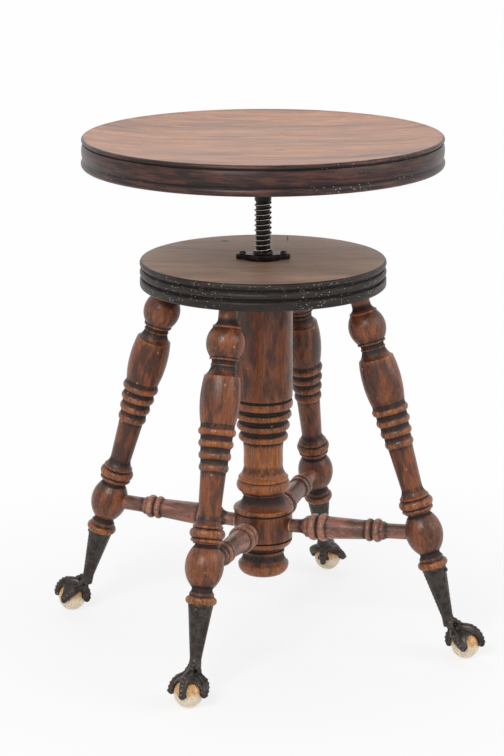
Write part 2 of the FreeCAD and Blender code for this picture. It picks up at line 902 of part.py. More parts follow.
def draw_lozenge(sketch, waist, end, reach):
    """Outline of a plate that narrows from a round waist to two round ends."""
    lean = math.asin((waist.value - end.value) / reach.value)
    up = Vector(math.sin(lean), math.cos(lean), 0)
    across = Vector(math.sin(lean), -math.cos(lean), 0)
    right = Vector(reach.value, 0, 0)
    middle = Vector(0, 0, 0)
    turn = math.pi / 2 - lean
    rim = Part.Circle(right, Z_AXIS, end.value)
    round_end = Part.ArcOfCircle(rim, -turn, turn)
    waist_rim = Part.Circle(middle, Z_AXIS, waist.value)
    back = Part.ArcOfCircle(waist_rim, turn, math.pi - turn)
    left_rim = Part.Circle(-right, Z_AXIS, end.value)
    left_end = Part.ArcOfCircle(left_rim, math.pi - turn, math.pi + turn)
    front = Part.ArcOfCircle(waist_rim, math.pi + turn, 2 * math.pi - turn)
    back_left = Vector(-up.x, up.y, 0)
    front_left = Vector(-across.x, across.y, 0)
    sketch.addGeometry(
        [
            round_end,
            Part.LineSegment(right + up * end.value, up * waist.value),
            back,
            Part.LineSegment(back_left * waist.value, back_left * end.value - right),
            left_end,
            Part.LineSegment(front_left * end.value - right, front_left * waist.value),
            front,
            Part.LineSegment(across * waist.value, right + across * end.value),
        ],
        False,
    )
    rules = []
    for number in range(8):
        following = (number + 1) % 8
        rules.append(Sketcher.Constraint("Tangent", number, 2, following, 1))
    rules.append(Sketcher.Constraint("Coincident", 2, 3, -1, 1))
    rules.append(Sketcher.Constraint("Coincident", 6, 3, -1, 1))
    rules.append(Sketcher.Constraint("PointOnObject", 0, 3, -1))
    rules.append(Sketcher.Constraint("PointOnObject", 4, 3, -1))
    rules.append(Sketcher.Constraint("Equal", 0, 4))
    rules.append(Sketcher.Constraint("Equal", 2, 6))
    sketch.addConstraint(rules)
    for rule, size in (
        (Sketcher.Constraint("Radius", 0, end.value), end),
        (Sketcher.Constraint("Radius", 2, waist.value), waist),
        (Sketcher.Constraint("DistanceX", -1, 1, 0, 3, reach.value), reach),
        (Sketcher.Constraint("DistanceX", 4, 3, -1, 1, reach.value), reach),
    ):
        spot = sketch.addConstraint(rule)
        sketch.setExpression(f"Constraints[{spot}]", size.text)


def make_nut_plate():
    """Cast nut: a hub down into the platform, a lozenge plate on top and a low boss."""
    nut = Turning("nut_plate")
    nut.step(S.nut_hub_dia)
    nut.run(S.nut_hub, S.nut_hub_dia)
    nut.step(S.nut_boss_dia)
    nut.run(S.nut_plate_thick, S.nut_boss_dia)
    nut.run(S.nut_boss, S.nut_boss_dia - S.nut_boss_taper * 2)
    nut.to_axis()
    body = nut.spin()
    sketch = new_sketch(body, "nut_plate_outline", "XY_Plane")
    draw_lozenge(
        sketch,
        S.nut_plate_waist_radius,
        S.nut_plate_end_radius,
        S.nut_plate_screw_offset,
    )
    bind_offset(sketch, S.nut_hub)
    plate = body.newObject("PartDesign::Pad", "nut_plate_plate")
    plate.Profile = sketch
    bind(plate, Length=S.nut_plate_thick)
    doc.recompute()
    rim = [
        f"Edge{number}"
        for number, edge in enumerate(plate.Shape.Edges, start=1)
        if is_top_rim(edge)
    ]
    rounded = body.newObject("PartDesign::Fillet", "nut_plate_rounded")
    rounded.Base = (plate, rim)
    bind(rounded, Radius=S.nut_plate_thick / 4)
    hole = drill(
        body,
        "nut_plate_hole",
        S.nut_screw_dia + S.screw_clearance * 2,
        S.nut_plate_thick * 2,
        x=S.nut_plate_screw_offset,
        z=S.nut_hub - S.nut_plate_thick / 2,
    )
    repeat_round(body, hole, "nut_plate_holes", 2)
    drill(
        body,
        "nut_plate_thread_bore",
        S.thread_dia + S.running_clearance * 2,
        S.nut_hub + S.nut_plate_thick + S.nut_boss,
    )
    place(body, z=nut_bottom, rotation=Rotation(Z_AXIS, S.nut_plate_turn.value))


def is_top_rim(edge):
    """The outer edges of the nut plate's upper face, clear of its boss."""
    top = S.nut_hub.value + S.nut_plate_thick.value
    level = all(abs(corner.Z - top) < 1e-6 for corner in edge.Vertexes)
    middle = edge.valueAt((edge.FirstParameter + edge.LastParameter) / 2)
    outside = math.hypot(middle.x, middle.y) > S.nut_boss_dia.value / 2 + 0.5
    return level and abs(middle.z - top) < 1e-6 and outside


def make_nut_screws():
    """Two round-headed screws that hold the nut plate down."""

    def one(label):
        return make_wood_screw(
            label,
            S.nut_screw_dia,
            S.nut_screw_length + S.nut_screw_head,
            S.nut_screw_head_dia,
            S.nut_screw_head,
            True,
        )

    tip = platform_top + S.nut_plate_thick - S.nut_screw_length
    reach = S.nut_plate_screw_offset
    spots = []
    for angle in (S.nut_plate_turn, S.nut_plate_turn + 180):
        spots.append((reach * cosine(angle), reach * sine(angle), tip))
    make_screw_group("nut_plate_screws", one, spots)


def make_platform():
    """Round platform with a three-bead rim; legs, column and nut are let into it."""
    disc = Turning("platform")
    corner = S.platform_corner
    quarter_round = 0.29
    groove_dia = S.platform_dia - S.platform_groove_depth * 2
    bead_dia = S.platform_dia - S.platform_bead_inset * 2
    disc.step(S.platform_dia - corner * 2)
    disc.swell(corner, S.platform_dia, corner * quarter_round)
    disc.run_to(S.platform_lower_bead - corner / 2, S.platform_dia)
    disc.swell(corner / 2, S.platform_dia - corner, corner / 2 * quarter_round)
    disc.step(groove_dia)
    disc.run(S.platform_groove, groove_dia)
    disc.step(bead_dia)
    disc.swell(S.platform_middle_bead, bead_dia, S.platform_bead_swell)
    disc.step(groove_dia)
    disc.run(S.platform_groove, groove_dia)
    disc.step(bead_dia)
    disc.swell(S.platform_upper_bead, bead_dia, S.platform_bead_swell)
    disc.to_axis()
    body = disc.spin()
    mortise = drill(
        body,
        "leg_mortise",
        S.leg_neck_dia + S.joint_clearance * 2,
        S.leg_mortise_depth * 2 + S.joint_clearance,
        x=S.leg_root_radius + S.leg_mortise_depth * rake_sine,
        z=-S.leg_mortise_depth * rake_cosine,
        tilt=-S.leg_rake.value,
    )
    repeat_round(body, mortise, "leg_mortises", 4)
    drill(body, "nut_bore", S.nut_hub_dia + S.joint_clearance * 2, platform_thick)
    drill(
        body,
        "column_mortise",
        S.column_tenon_dia + S.joint_clearance * 2,
        S.column_tenon + S.joint_clearance,
    )
    turn = CORNERS["back_right"]
    angle = S.nut_plate_turn - turn
    reach = S.nut_plate_screw_offset
    pilot = drill(
        body,
        "nut_plate_pilot",
        S.nut_screw_dia + S.screw_clearance * 2,
        S.nut_screw_length,
        x=reach * cosine(angle),
        y=reach * sine(angle),
        z=platform_thick
        + S.nut_plate_thick
        - S.nut_screw_length
        - S.screw_clearance,
    )
    repeat_round(body, pilot, "nut_plate_pilots", 2)
    place(body, z=S.platform_underside, rotation=Rotation(Z_AXIS, turn))


def make_column():
    """Turned centre column, bored from the top for the lead screw."""
    post = Turning("column")
    post.step(S.column_foot_dia)
    post.swell(S.column_bell_round, S.column_bell_dia, S.column_bell_bulge)
    post.cove(S.column_bell_flare, S.column_bell_neck_dia, S.column_bell_hollow)
    post.step(S.column_fillet_dia)
    post.run(S.column_fillet, S.column_fillet_dia)
    post.step(S.column_barrel_foot_dia)
    post.run(S.column_barrel_groove, S.column_barrel_foot_dia)
    post.step(S.column_bowl_foot_dia)
    post.run(S.column_bowl_foot, S.column_bowl_foot_dia)
    post.swell(S.column_barrel_round, S.column_barrel_dia, S.column_barrel_bulge)
    post.step(S.column_bowl_groove_dia)
    post.run(S.column_bowl_groove, S.column_bowl_groove_dia)
    post.step(S.column_barrel_dia)
    post.run(S.column_barrel, S.column_barrel_dia)
    post.step(S.column_line_dia)
    post.run(S.column_line, S.column_line_dia)
    post.bead(
        S.column_shoulder, S.column_shoulder_top_dia, S.column_shoulder_dia + 1.0
    )
    post.step(S.column_ogee_dia)
    post.cove(S.column_ogee, S.column_neck_dia, S.column_ogee_hollow)
    post.run(S.column_neck, S.column_neck_dia)
    post.step(S.column_collar_dia)
    post.run(S.column_collar, S.column_collar_dia)
    post.bead(S.column_ring, S.column_ring_edge_dia, S.column_ring_dia)
    post.step(S.column_edge_dia)
    post.run(S.column_edge, S.column_edge_dia)
    post.cove(S.column_flare, S.column_waist_dia, S.column_flare_hollow)
    post.cove(S.column_waist, S.column_waist_top_dia, S.column_waist_hollow)
    for number in range(S.column_bead_count.value):
        core = S.column_core_low_dia + S.column_core_growth * number
        widest = S.column_bead_low_dia + S.column_bead_growth * number
        post.step(core)
        post.bead(S.column_bead, core, widest)
        post.run(S.column_bead_gap, core)
    post.step(S.column_band_dia)
    post.run(S.column_band, S.column_band_dia)
    post.step(S.column_top_groove_dia)
    post.run(S.column_top_groove, S.column_top_groove_dia)
    post.step(S.column_top_dia)
    post.run_to(column_length, S.column_top_dia)
    post.step(S.column_tenon_dia)
    post.run(S.column_tenon, S.column_tenon_dia)
    post.to_axis()
    body = post.spin()
    lead = S.stretcher_column_depth + S.joint_clearance
    barrel_radius = S.column_barrel_dia / 2
    start = (barrel_radius - lead) * math.tan(math.radians(stretcher_slope))
    mortise = drill(
        body,
        "stretcher_mortise",
        S.stretcher_inner_dia + S.joint_clearance * 2,
        S.column_barrel_dia,
        x=barrel_radius - lead,
        z=S.stretcher_height - S.column_foot_height + start,
        tilt=90 - stretcher_slope,
    )
    repeat_round(body, mortise, "stretcher_mortises", 4)
    drill(
        body,
        "screw_bore",
        S.bore_dia,
        S.bore_depth + S.column_tenon,
        z=column_length - S.bore_depth,
    )
    place(
        body,
        z=S.column_foot_height,
        rotation=Rotation(Z_AXIS, CORNERS["back_right"]),
    )


def nail_point():
    """Distance from the leg's axis out to the inner end of a ferrule nail."""
    taper = (S.ferrule_top_dia - S.ferrule_ankle_dia) / 2 / S.ferrule_length
    under_head = S.nail_drop - S.nail_head_dia / 2
    return S.ferrule_top_dia / 2 - taper * under_head - S.nail_length


def make_leg(name, corner):
    """One raked leg, turned from the tenon in its claw foot up to the platform."""
    leg = Turning(f"leg_{name}")
    leg.step(S.leg_foot_tenon_tip_dia)
    leg.run(S.leg_foot_tenon, S.leg_foot_tenon_dia)
    leg.step(S.leg_foot_ring_edge_dia)
    leg.bead(S.leg_foot_ring, S.leg_ledge_dia, S.leg_foot_ring_dia)
    leg.run(S.leg_ledge, S.leg_ledge_dia)
    leg.cove(S.leg_ankle, S.leg_ankle_dia, S.leg_ankle / 6)
    leg.bead(S.leg_low_ball, S.leg_knee_dia, S.leg_low_ball_dia)
    leg.run(S.leg_knee, S.leg_knee_dia)
    leg.step(S.leg_knee_fillet_dia)
    leg.run(S.leg_knee_fillet, S.leg_knee_fillet_dia)
    leg.step(S.leg_small_bead_edge_dia)
    leg.bead(S.leg_small_bead, S.leg_small_bead_edge_dia, S.leg_small_bead_dia)
    leg.bead(S.leg_big_bead, S.leg_small_bead_edge_dia, S.leg_big_bead_dia)
    leg.step(S.leg_cuff_dia - S.leg_cuff_groove_depth * 2)
    leg.run(S.leg_cuff_groove, S.leg_cuff_dia - S.leg_cuff_groove_depth * 2)
    leg.step(S.leg_cuff_dia)
    leg.run(S.leg_cuff, S.leg_cuff_dia)
    leg.cove(S.leg_cuff_flare, S.leg_shaft_low_dia, S.leg_cuff_hollow)
    leg.run(leg_shaft, S.leg_shaft_top_dia)
    core = S.leg_shaft_top_dia
    for number in range(S.leg_bead_count.value):
        widest = S.leg_bead_low_dia + S.leg_bead_growth * number
        leg.bead(S.leg_bead, core + S.leg_core_growth, widest)
        core = core + S.leg_core_growth
        leg.run(S.leg_bead_gap, core)
    leg.step(S.leg_vase_low_dia)
    leg.bead(S.leg_vase, S.leg_vase_top_dia, S.leg_vase_dia)
    leg.step(S.leg_vase_top_dia - S.leg_vase_lip * 2)
    leg.cove(S.leg_throat, S.leg_throat_dia, S.leg_throat_hollow)
    leg.step(S.leg_throat_ring_dia)
    leg.run(S.leg_throat_ring, S.leg_throat_ring_dia)
    leg.step(S.leg_throat_dia)
    leg.run(S.leg_throat_neck, S.leg_throat_dia)
    leg.step(S.leg_ball_fillet_dia)
    leg.run(S.leg_ball_fillet, S.leg_ball_fillet_dia)
    leg.step(S.leg_top_ball_edge_dia)
    leg.bead(S.leg_top_ball, S.leg_top_ball_edge_dia, S.leg_top_ball_dia)
    leg.step(S.leg_crown_dia)
    leg.run(S.leg_crown, S.leg_crown_dia)
    leg.cove(S.leg_crown_flare, S.leg_neck_dia, S.leg_crown_hollow)
    leg.run_to(S.leg_foot_tenon + leg_length + S.leg_mortise_depth, S.leg_neck_dia)
    leg.to_axis()
    body = leg.spin()
    inward = S.leg_rake.value - stretcher_slope - 90
    stop = S.stretcher_leg_stop - S.joint_clearance
    drill(
        body,
        f"stretcher_mortise_{name}",
        S.stretcher_outer_dia + S.joint_clearance * 2,
        S.leg_low_ball_dia,
        x=stop * sine(inward),
        z=S.leg_foot_tenon + low_ball_above_shoulder + stop * cosine(inward),
        tilt=inward,
    )
    drill(
        body,
        f"nail_hole_{name}",
        S.nail_dia + S.screw_clearance * 2,
        S.leg_foot_tenon_dia,
        x=nail_point() - S.screw_clearance,
        z=S.leg_foot_tenon - S.nail_drop,
        tilt=90,
    )
    place_radially(
        body,
        corner,
        shoulder_radius + S.leg_foot_tenon * rake_sine,
        S.claw_height - S.leg_foot_tenon * rake_cosine,
        -S.leg_rake.value,
    )


def make_stretcher(name, corner):
    """One turned stretcher, from its tenon in the column to its tenon in the leg."""
    rail = Turning(f"stretcher_{name}")
    rail.step(S.stretcher_inner_dia)
    rail.run(S.stretcher_inner_neck, S.stretcher_inner_dia)
    rail.cove(
        S.stretcher_inner_flare, S.stretcher_shoulder_dia, S.stretcher_inner_hollow
    )
    rail.run(S.stretcher_shoulder, S.stretcher_shoulder_dia)
    rail.bead(
        S.stretcher_bead_one, S.stretcher_inner_core_dia, S.stretcher_bead_one_dia
    )
    rail.run(S.stretcher_bead_gap, S.stretcher_inner_core_dia)
    rail.bead(
        S.stretcher_bead_two, S.stretcher_inner_core_dia, S.stretcher_bead_two_dia
    )
    rail.step(S.stretcher_barrel_dia)
    rail.run(S.stretcher_barrel, S.stretcher_barrel_end_dia)
    rail.bead(
        S.stretcher_bead_three,
        S.stretcher_outer_core_dia,
        S.stretcher_bead_three_dia,
    )
    rail.run(S.stretcher_bead_gap, S.stretcher_outer_core_dia)
    rail.bead(
        S.stretcher_bead_four,
        S.stretcher_outer_core_dia,
        S.stretcher_bead_four_dia,
    )
    rail.step(S.stretcher_outer_ledge_dia)
    rail.run(S.stretcher_outer_ledge, S.stretcher_outer_ledge_dia)
    rail.cove(
        S.stretcher_outer_flare, S.stretcher_outer_dia, S.stretcher_outer_hollow
    )
    slope_cosine = cosine(stretcher_slope)
    start_out = S.column_barrel_dia / 2 - S.stretcher_column_depth
    length = (low_ball_radius - start_out) / slope_cosine - S.stretcher_leg_stop
    rail.run_to(length, S.stretcher_outer_dia)
    rail.to_axis()
    body = rail.spin()
    rise = start_out * math.tan(math.radians(stretcher_slope))
    place_radially(
        body,
        corner,
        start_out,
        S.stretcher_height + rise,
        90 - stretcher_slope,
    )


def ball_centre():
    """Centre of a glass ball, from the top of its ferrule, in the leg's radial plane."""
    drop = S.claw_height.value - ball_height().value
    return Vector(S.ball_throw.value, 0, -drop)


def ball_height():
    """Height of the ball's centre over its worn flat."""
    radius = S.ball_dia / 2
    reach = S.ball_flat_dia / S.ball_dia
    angle = Size(math.degrees(math.asin(reach.value)), f"asin({reach.text})")
    return radius * cosine(angle)


def make_glass_ball(name, corner):
    """One glass ball, with the small flat that it stands on."""
    ball = doc.addObject("Part::Sphere", f"glass_ball_{name}")
    ball.Label = f"glass_ball_{name}"
    reach = S.ball_flat_dia / S.ball_dia
    latitude = Size(-math.degrees(math.acos(reach.value)), f"(-1 * acos({reach.text}))")
    bind(ball, Radius=S.ball_dia / 2, Angle1=latitude)
    place_radially(ball, corner, shoulder_radius + S.ball_throw, ball_height(), 0)


def talon_station(start, finish, share):
    """Direction a share of the way along the great circle between two directions."""
    angle = start.getAngle(finish)
    first = math.sin((1 - share) * angle) / math.sin(angle)
    second = math.sin(share * angle) / math.sin(angle)
    return start * first + finish * second


def make_talon(centre, root, tip):
    """One talon: a knuckled toe that bends over the ball from the palm to its tip."""
    knuckles = S.talon_knuckles.value
    stations = 4 * knuckles
    ball_radius = S.ball_dia.value / 2
    spots = []
    radii = []
    for number in range(stations + 1):
        share = number / stations
        gap = S.talon_tip_gap.value
        gap += (S.talon_root_gap.value - gap) * (1 - share**3)
        heading = talon_station(root, tip, share)
        spots.append(centre + heading * (ball_radius + gap))
        radius = S.talon_root_dia.value / 2
        radius += (S.talon_tip_dia.value / 2 - radius) * share
        swell = math.cos(2 * math.pi * knuckles * (share - 0.5 / knuckles))
        radii.append(radius + S.talon_knuckle.value / 2 * swell)
    onward = spots[-1] - spots[-2]
    onward.normalize()
    end = spots[-1]
    end_radius = radii[-1]
    for lead, narrowing in ((0.55, 0.85), (0.9, 0.45)):
        spots.append(end + onward * end_radius * lead)
        radii.append(end_radius * narrowing)
    across = root.cross(tip)
    rings = []
    for number, spot in enumerate(spots):
        along = spots[min(number + 1, len(spots) - 1)] - spots[max(number - 1, 0)]
        facing = Rotation(across, across.cross(along), along, "ZXY")
        ring = Part.Wire(Part.makeCircle(radii[number]))
        ring.Placement = FreeCAD.Placement(spot, facing)
        rings.append(ring)
    return Part.makeLoft(rings, True)


def arched_web(centre):
    """The skin between the talons: a thick cap over the ball with four arched openings."""
    outside = S.ball_dia.value / 2 + S.web_thick.value
    web = Part.makeSphere(outside, centre, Z_AXIS, 0, 90)
    arch_radius = S.web_arch_dia.value / 2
    spring = Vector(0, 0, S.web_arch_rise.value)
    front = S.side_talon_swing.value / 2
    back = (180 + S.side_talon_swing.value) / 2
    for swing in (front, back, -back, -front):
        arch = Part.makeCylinder(arch_radius, 2 * outside, spring, X_AXIS)
        post = Part.makeBox(
            2 * outside,
            2 * arch_radius,
            outside,
            spring - Vector(0, arch_radius, outside),
        )
        opening = arch.fuse(post)
        opening.Placement = FreeCAD.Placement(centre, Rotation(Z_AXIS, swing))
        web = web.cut(opening)
    return web


def claw_foot_shape():
    """The cast foot, about the centre of its ferrule's rim, pointing out along X."""
    rake = math.radians(S.leg_rake.value)
    down = Vector(math.sin(rake), 0, -math.cos(rake))
    outward = Vector(math.cos(rake), 0, math.sin(rake))
    rim = Vector(0, 0, 0)
    centre = ball_centre()
    ankle = down * S.ferrule_length.value
    palm = ankle + down * S.ankle_length.value
    root = palm - centre
    root.normalize()
    ferrule = Part.makeCone(
        S.ferrule_top_dia.value / 2,
        S.ferrule_ankle_dia.value / 2,
        S.ferrule_length.value,
        rim,
        down,
    )
    neck = Part.makeCone(
        S.ferrule_ankle_dia.value / 2,
        S.palm_dia.value / 2,
        S.ankle_length.value,
        ankle,
        down,
    )
    foot = ferrule.fuse([neck, Part.makeSphere(S.palm_dia.value / 2, palm)])
    foot = foot.fuse(arched_web(centre))
    for swing in (0, S.side_talon_swing.value, 180, -S.side_talon_swing.value):
        side = math.radians(swing)
        lean = S.talon_tip_lean.value * math.cos(side)
        reach = math.radians(S.talon_reach.value - lean)
        tip = Vector(
            math.sin(reach) * math.cos(side),
            math.sin(reach) * math.sin(side),
            math.cos(reach),
        )
        foot = foot.fuse(make_talon(centre, root, tip))
    gap = S.socket_clearance.value
    socket = Part.makeCone(
        S.leg_foot_tenon_dia.value / 2 + gap,
        S.leg_foot_tenon_tip_dia.value / 2 + gap,
        S.leg_foot_tenon.value,
        rim,
        down,
    )
    pit = Part.makeCylinder(
        S.leg_foot_tenon_tip_dia.value / 2 + gap,
        gap,
        down * S.leg_foot_tenon.value,
        down,
    )
    hollow = Part.makeSphere(S.ball_dia.value / 2 + S.ball_clearance.value, centre)
    nail_way = Part.makeCylinder(
        S.nail_dia.value / 2 + S.screw_clearance.value,
        S.ferrule_top_dia.value,
        down * S.nail_drop.value,
        outward,
    )
    return foot.cut([socket, pit, hollow, nail_way]).removeSplitter()


def make_claw_feet():
    """Four cast feet from one shape."""
    shape = claw_foot_shape()
    for name, corner in CORNERS.items():
        foot = doc.addObject("Part::Feature", f"claw_foot_{name}")
        foot.Label = f"claw_foot_{name}"
        foot.Shape = shape
        place_radially(foot, corner, shoulder_radius, S.claw_height, 0)


def make_ferrule_nails():
    """One round-headed nail through the outer side of each ferrule."""
    drop = S.nail_drop
    inner = nail_point()
    nails = []
    for name, corner in CORNERS.items():
        nail = Turning(f"ferrule_nail_{name}")
        nail.step(S.nail_dia)
        nail.run(S.nail_length, S.nail_dia)
        nail.step(S.nail_head_dia)
        nail.swell(S.nail_head, S.nail_head_dia / 4, S.nail_head / 3)
        nail.to_axis()
        body = nail.spin()
        place_radially(
            body,
            corner,
            shoulder_radius + inner * rake_cosine + drop * rake_sine,
            S.claw_height + inner * rake_sine - drop * rake_cosine,
            90 - S.leg_rake.value,
        )
        nails.append(body)
    group = doc.addObject("Part::Compound", "ferrule_nails")
    group.Links = nails
    group.Label = "ferrule_nails"


def make_stool():
    make_seat()
    make_seat_plate()
    make_seat_screws()
    make_lead_screw()
    make_stop_washer()
    make_stop_pin()
    make_nut_plate()
    make_nut_screws()
    make_platform()
    make_column()
    for name, corner in CORNERS.items():
        make_leg(name, corner)
        make_stretcher(name, corner)
        make_glass_ball(name, corner)
    make_claw_feet()
    make_ferrule_nails()


NODES = [
    "seat",
    "seat_plate",
    "seat_plate_screws",
    "lead_screw",
    "stop_washer",
    "stop_pin",
    "nut_plate",
    "nut_plate_screws",
    "platform",
    "column",
    "ferrule_nails",
]
for corner_name in CORNERS:
    NODES.append(f"leg_{corner_name}")
    NODES.append(f"stretcher_{corner_name}")
    NODES.append(f"claw_foot_{corner_name}")
    NODES.append(f"glass_ball_{corner_name}")


def check_document():
    """Stop if any object of the document failed to build."""
    for item in doc.Objects:
        failed = {"Invalid", "Error"} & set(item.State)
        if failed:
            raise RuntimeError(f"{item.Label} is {sorted(failed)}")


def check_piece(item):
    shape = item.Shape
    if shape.isNull() or not shape.isValid() or not shape.Solids:
        raise RuntimeError(f"{item.Label} has no valid solid")


def export_pieces():
    os.makedirs("parts", exist_ok=True)
    pieces = [doc.getObjectsByLabel(label)[0] for label in NODES]
    for item in pieces:
        check_piece(item)
    for item in pieces:
        item.Shape.exportStep(f"parts/{item.Label}.step")


make_stool()
doc.recompute()
check_document()
export_pieces()
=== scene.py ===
import json
import math

import bmesh
import bpy
import numpy as np
from mathutils import Matrix, Vector, noise

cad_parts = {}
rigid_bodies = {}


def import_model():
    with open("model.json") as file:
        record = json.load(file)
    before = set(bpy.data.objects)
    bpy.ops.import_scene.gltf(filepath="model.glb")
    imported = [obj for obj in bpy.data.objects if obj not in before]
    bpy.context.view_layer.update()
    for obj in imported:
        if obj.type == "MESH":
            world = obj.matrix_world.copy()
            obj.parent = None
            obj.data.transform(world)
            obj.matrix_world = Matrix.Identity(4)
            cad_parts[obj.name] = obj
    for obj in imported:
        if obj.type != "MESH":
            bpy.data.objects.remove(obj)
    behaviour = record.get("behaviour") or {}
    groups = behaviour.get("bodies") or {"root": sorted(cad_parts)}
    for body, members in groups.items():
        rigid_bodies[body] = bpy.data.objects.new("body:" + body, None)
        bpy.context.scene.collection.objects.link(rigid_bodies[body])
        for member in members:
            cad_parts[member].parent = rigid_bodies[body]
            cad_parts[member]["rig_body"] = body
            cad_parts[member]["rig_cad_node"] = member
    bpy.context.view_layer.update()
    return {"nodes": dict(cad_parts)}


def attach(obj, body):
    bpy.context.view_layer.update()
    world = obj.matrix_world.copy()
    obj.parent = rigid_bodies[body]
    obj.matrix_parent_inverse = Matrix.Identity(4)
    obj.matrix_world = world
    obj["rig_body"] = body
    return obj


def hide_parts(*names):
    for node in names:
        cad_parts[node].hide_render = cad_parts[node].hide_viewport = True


bl_info = {
    "name": "Revolving Piano Stool",
    "version": (1, 0, 0),
    "blender": (4, 5, 0),
    "location": "3D Viewport > Sidebar > Stool",
    "description": "Builds the wood, iron and glass pieces of a revolving piano stool",
    "category": "Object",
}

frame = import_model()

MM = 0.001

CORNERS = {
    "front_right": -45,
    "back_right": 45,
    "back_left": 135,
    "front_left": -135,
}

# Heights and places of the pieces, in millimetres, as the solids have them.

PLATFORM_UNDERSIDE = 367.6
PLATFORM_TOP = 394.5
SEAT_UNDERSIDE = 488.5
COLUMN_FOOT = 66.0
LEG_RAKE = 16.6
LEG_ROOT_RADIUS = 98.5
FERRULE_HEIGHT = 91.4
NUT_PLATE_TURN = -25.6
BALL_THROW = 34.2
BALL_HEIGHT = 14.034
BALL_DIA = 28.7

RAKE_SINE = math.sin(math.radians(LEG_RAKE))
RAKE_COSINE = math.cos(math.radians(LEG_RAKE))
LEG_LENGTH = (PLATFORM_UNDERSIDE - FERRULE_HEIGHT) / RAKE_COSINE
FERRULE_RADIUS = LEG_ROOT_RADIUS + LEG_LENGTH * RAKE_SINE


class Outline:
    """Half the outline of a turned piece, in millimetres, from its lower end up."""

    def __init__(self, dia=0.0):
        self.points = [(dia / 2, 0.0)]

    def step(self, dia):
        self.points.append((dia / 2, self.points[-1][1]))

    def run(self, length, dia):
        self.run_to(self.points[-1][1] + length, dia)

    def run_to(self, height, dia):
        """A straight length, with points along it that keep the wear near its ends."""
        radius, start = self.points[-1]
        pieces = max(1, math.ceil((height - start) / RUN_STEP))
        for number in range(1, pieces + 1):
            share = number / pieces
            out = radius + (dia / 2 - radius) * share
            self.points.append((out, start + (height - start) * share))

    def swell(self, length, dia, bulge):
        """An arc that stands off its chord by bulge, inwards where that is negative."""
        start = Vector(self.points[-1])
        finish = Vector((dia / 2, start.y + length))
        chord = finish - start
        half = chord.length / 2
        radius = half * half / (2 * abs(bulge)) + abs(bulge) / 2
        outwards = Vector((chord.y, -chord.x)).normalized() * math.copysign(1, bulge)
        centre = (start + finish) / 2 - outwards * (radius - abs(bulge))
        sweep = 2 * math.asin(min(half / radius, 1))
        if abs(bulge) > half:
            sweep = 2 * math.pi - sweep
        turn = math.copysign(sweep, bulge)
        pieces = max(6, math.ceil(radius * sweep / ARC_STEP))
        arm = start - centre
        for number in range(1, pieces + 1):
            angle = turn * number / pieces
            c, s = math.cos(angle), math.sin(angle)
            spot = centre + Vector((arm.x * c - arm.y * s, arm.x * s + arm.y * c))
            self.points.append((spot.x, spot.y))

    def bead(self, length, dia, widest):
        start = self.points[-1][0] * 2
        self.swell(length, dia, widest / 2 - (start + dia) / 4)

    def to_axis(self):
        self.points.append((0.0, self.points[-1][1]))

    def draw(self, strokes):
        """Follow strokes such as "bead 8.0 24.2 30.4", with commas between them."""
        for stroke in strokes.split(","):
            kind, *sizes = stroke.split()
            getattr(self, kind)(*map(float, sizes))

    def softened(self, softness):
        """The outline with each sharp corner worn to a small radius."""
        kept = [Vector(self.points[0])]
        for spot in self.points[1:]:
            if (Vector(spot) - kept[-1]).length > 1e-6:
                kept.append(Vector(spot))
        worn = [kept[0]]
        for before, here, after in zip(kept, kept[1:], kept[2:]):
            back = before - here
            on = after - here
            bend = math.pi - back.angle(on)
            if bend < math.radians(22):
                worn.append(here)
                continue
            reach = min(softness, back.length * 0.42, on.length * 0.42)
            first = here + back.normalized() * reach
            last = here + on.normalized() * reach
            for share in (0, 0.33, 0.67, 1):
                low = first.lerp(here, share)
                high = here.lerp(last, share)
                worn.append(low.lerp(high, share))
        worn.append(kept[-1])
        return worn


# How far apart the points of an arc and of a straight length may lie.

ARC_STEP = 0.75
RUN_STEP = 4.0


def seat_outline():
    line = Outline()
    line.draw(
        """step 352.2, swell 7.4 354.2 2.5, run 0.9 354.2,
        step 354.6, swell 15.6 354.6 1.2, step 351.0, run 2.2 351.0,
        step 356.6, swell 2.9 348.6 1.8"""
    )
    dish(line, 6.0, 180.0)
    line.draw("run 0.0 90.0, to_axis")
    return line


def dish(line, depth, flat_dia):
    """A hollow that goes down and inwards to a flat middle."""
    rim, height = line.points[-1]
    pieces = 24
    for number in range(1, pieces + 1):
        share = number / pieces
        radius = rim + (flat_dia / 2 - rim) * share
        line.points.append((radius, height - depth * (1 - (1 - share) ** 2)))


# The hole that the nut's hub, the screw and its washer run in.

BORE = 28.6
BORE_DEPTH = 118.0


def platform_outline():
    """The platform, with its hole for the nut's hub."""
    line = Outline(BORE)
    line.draw(
        """step 240.0, swell 2.8 245.6 0.81, run_to 7.5 245.6,
        swell 1.4 242.8 0.41"""
    )
    for _ in range(2):
        line.draw("step 237.6, run 2.8 237.6, step 242.6, swell 6.2 242.6 1.5")
    line.draw("run 0.0 200.0, run 0.0 100.0, run 0.0 42.0")
    line.step(BORE)
    line.run_to(0.0, BORE)
    return line


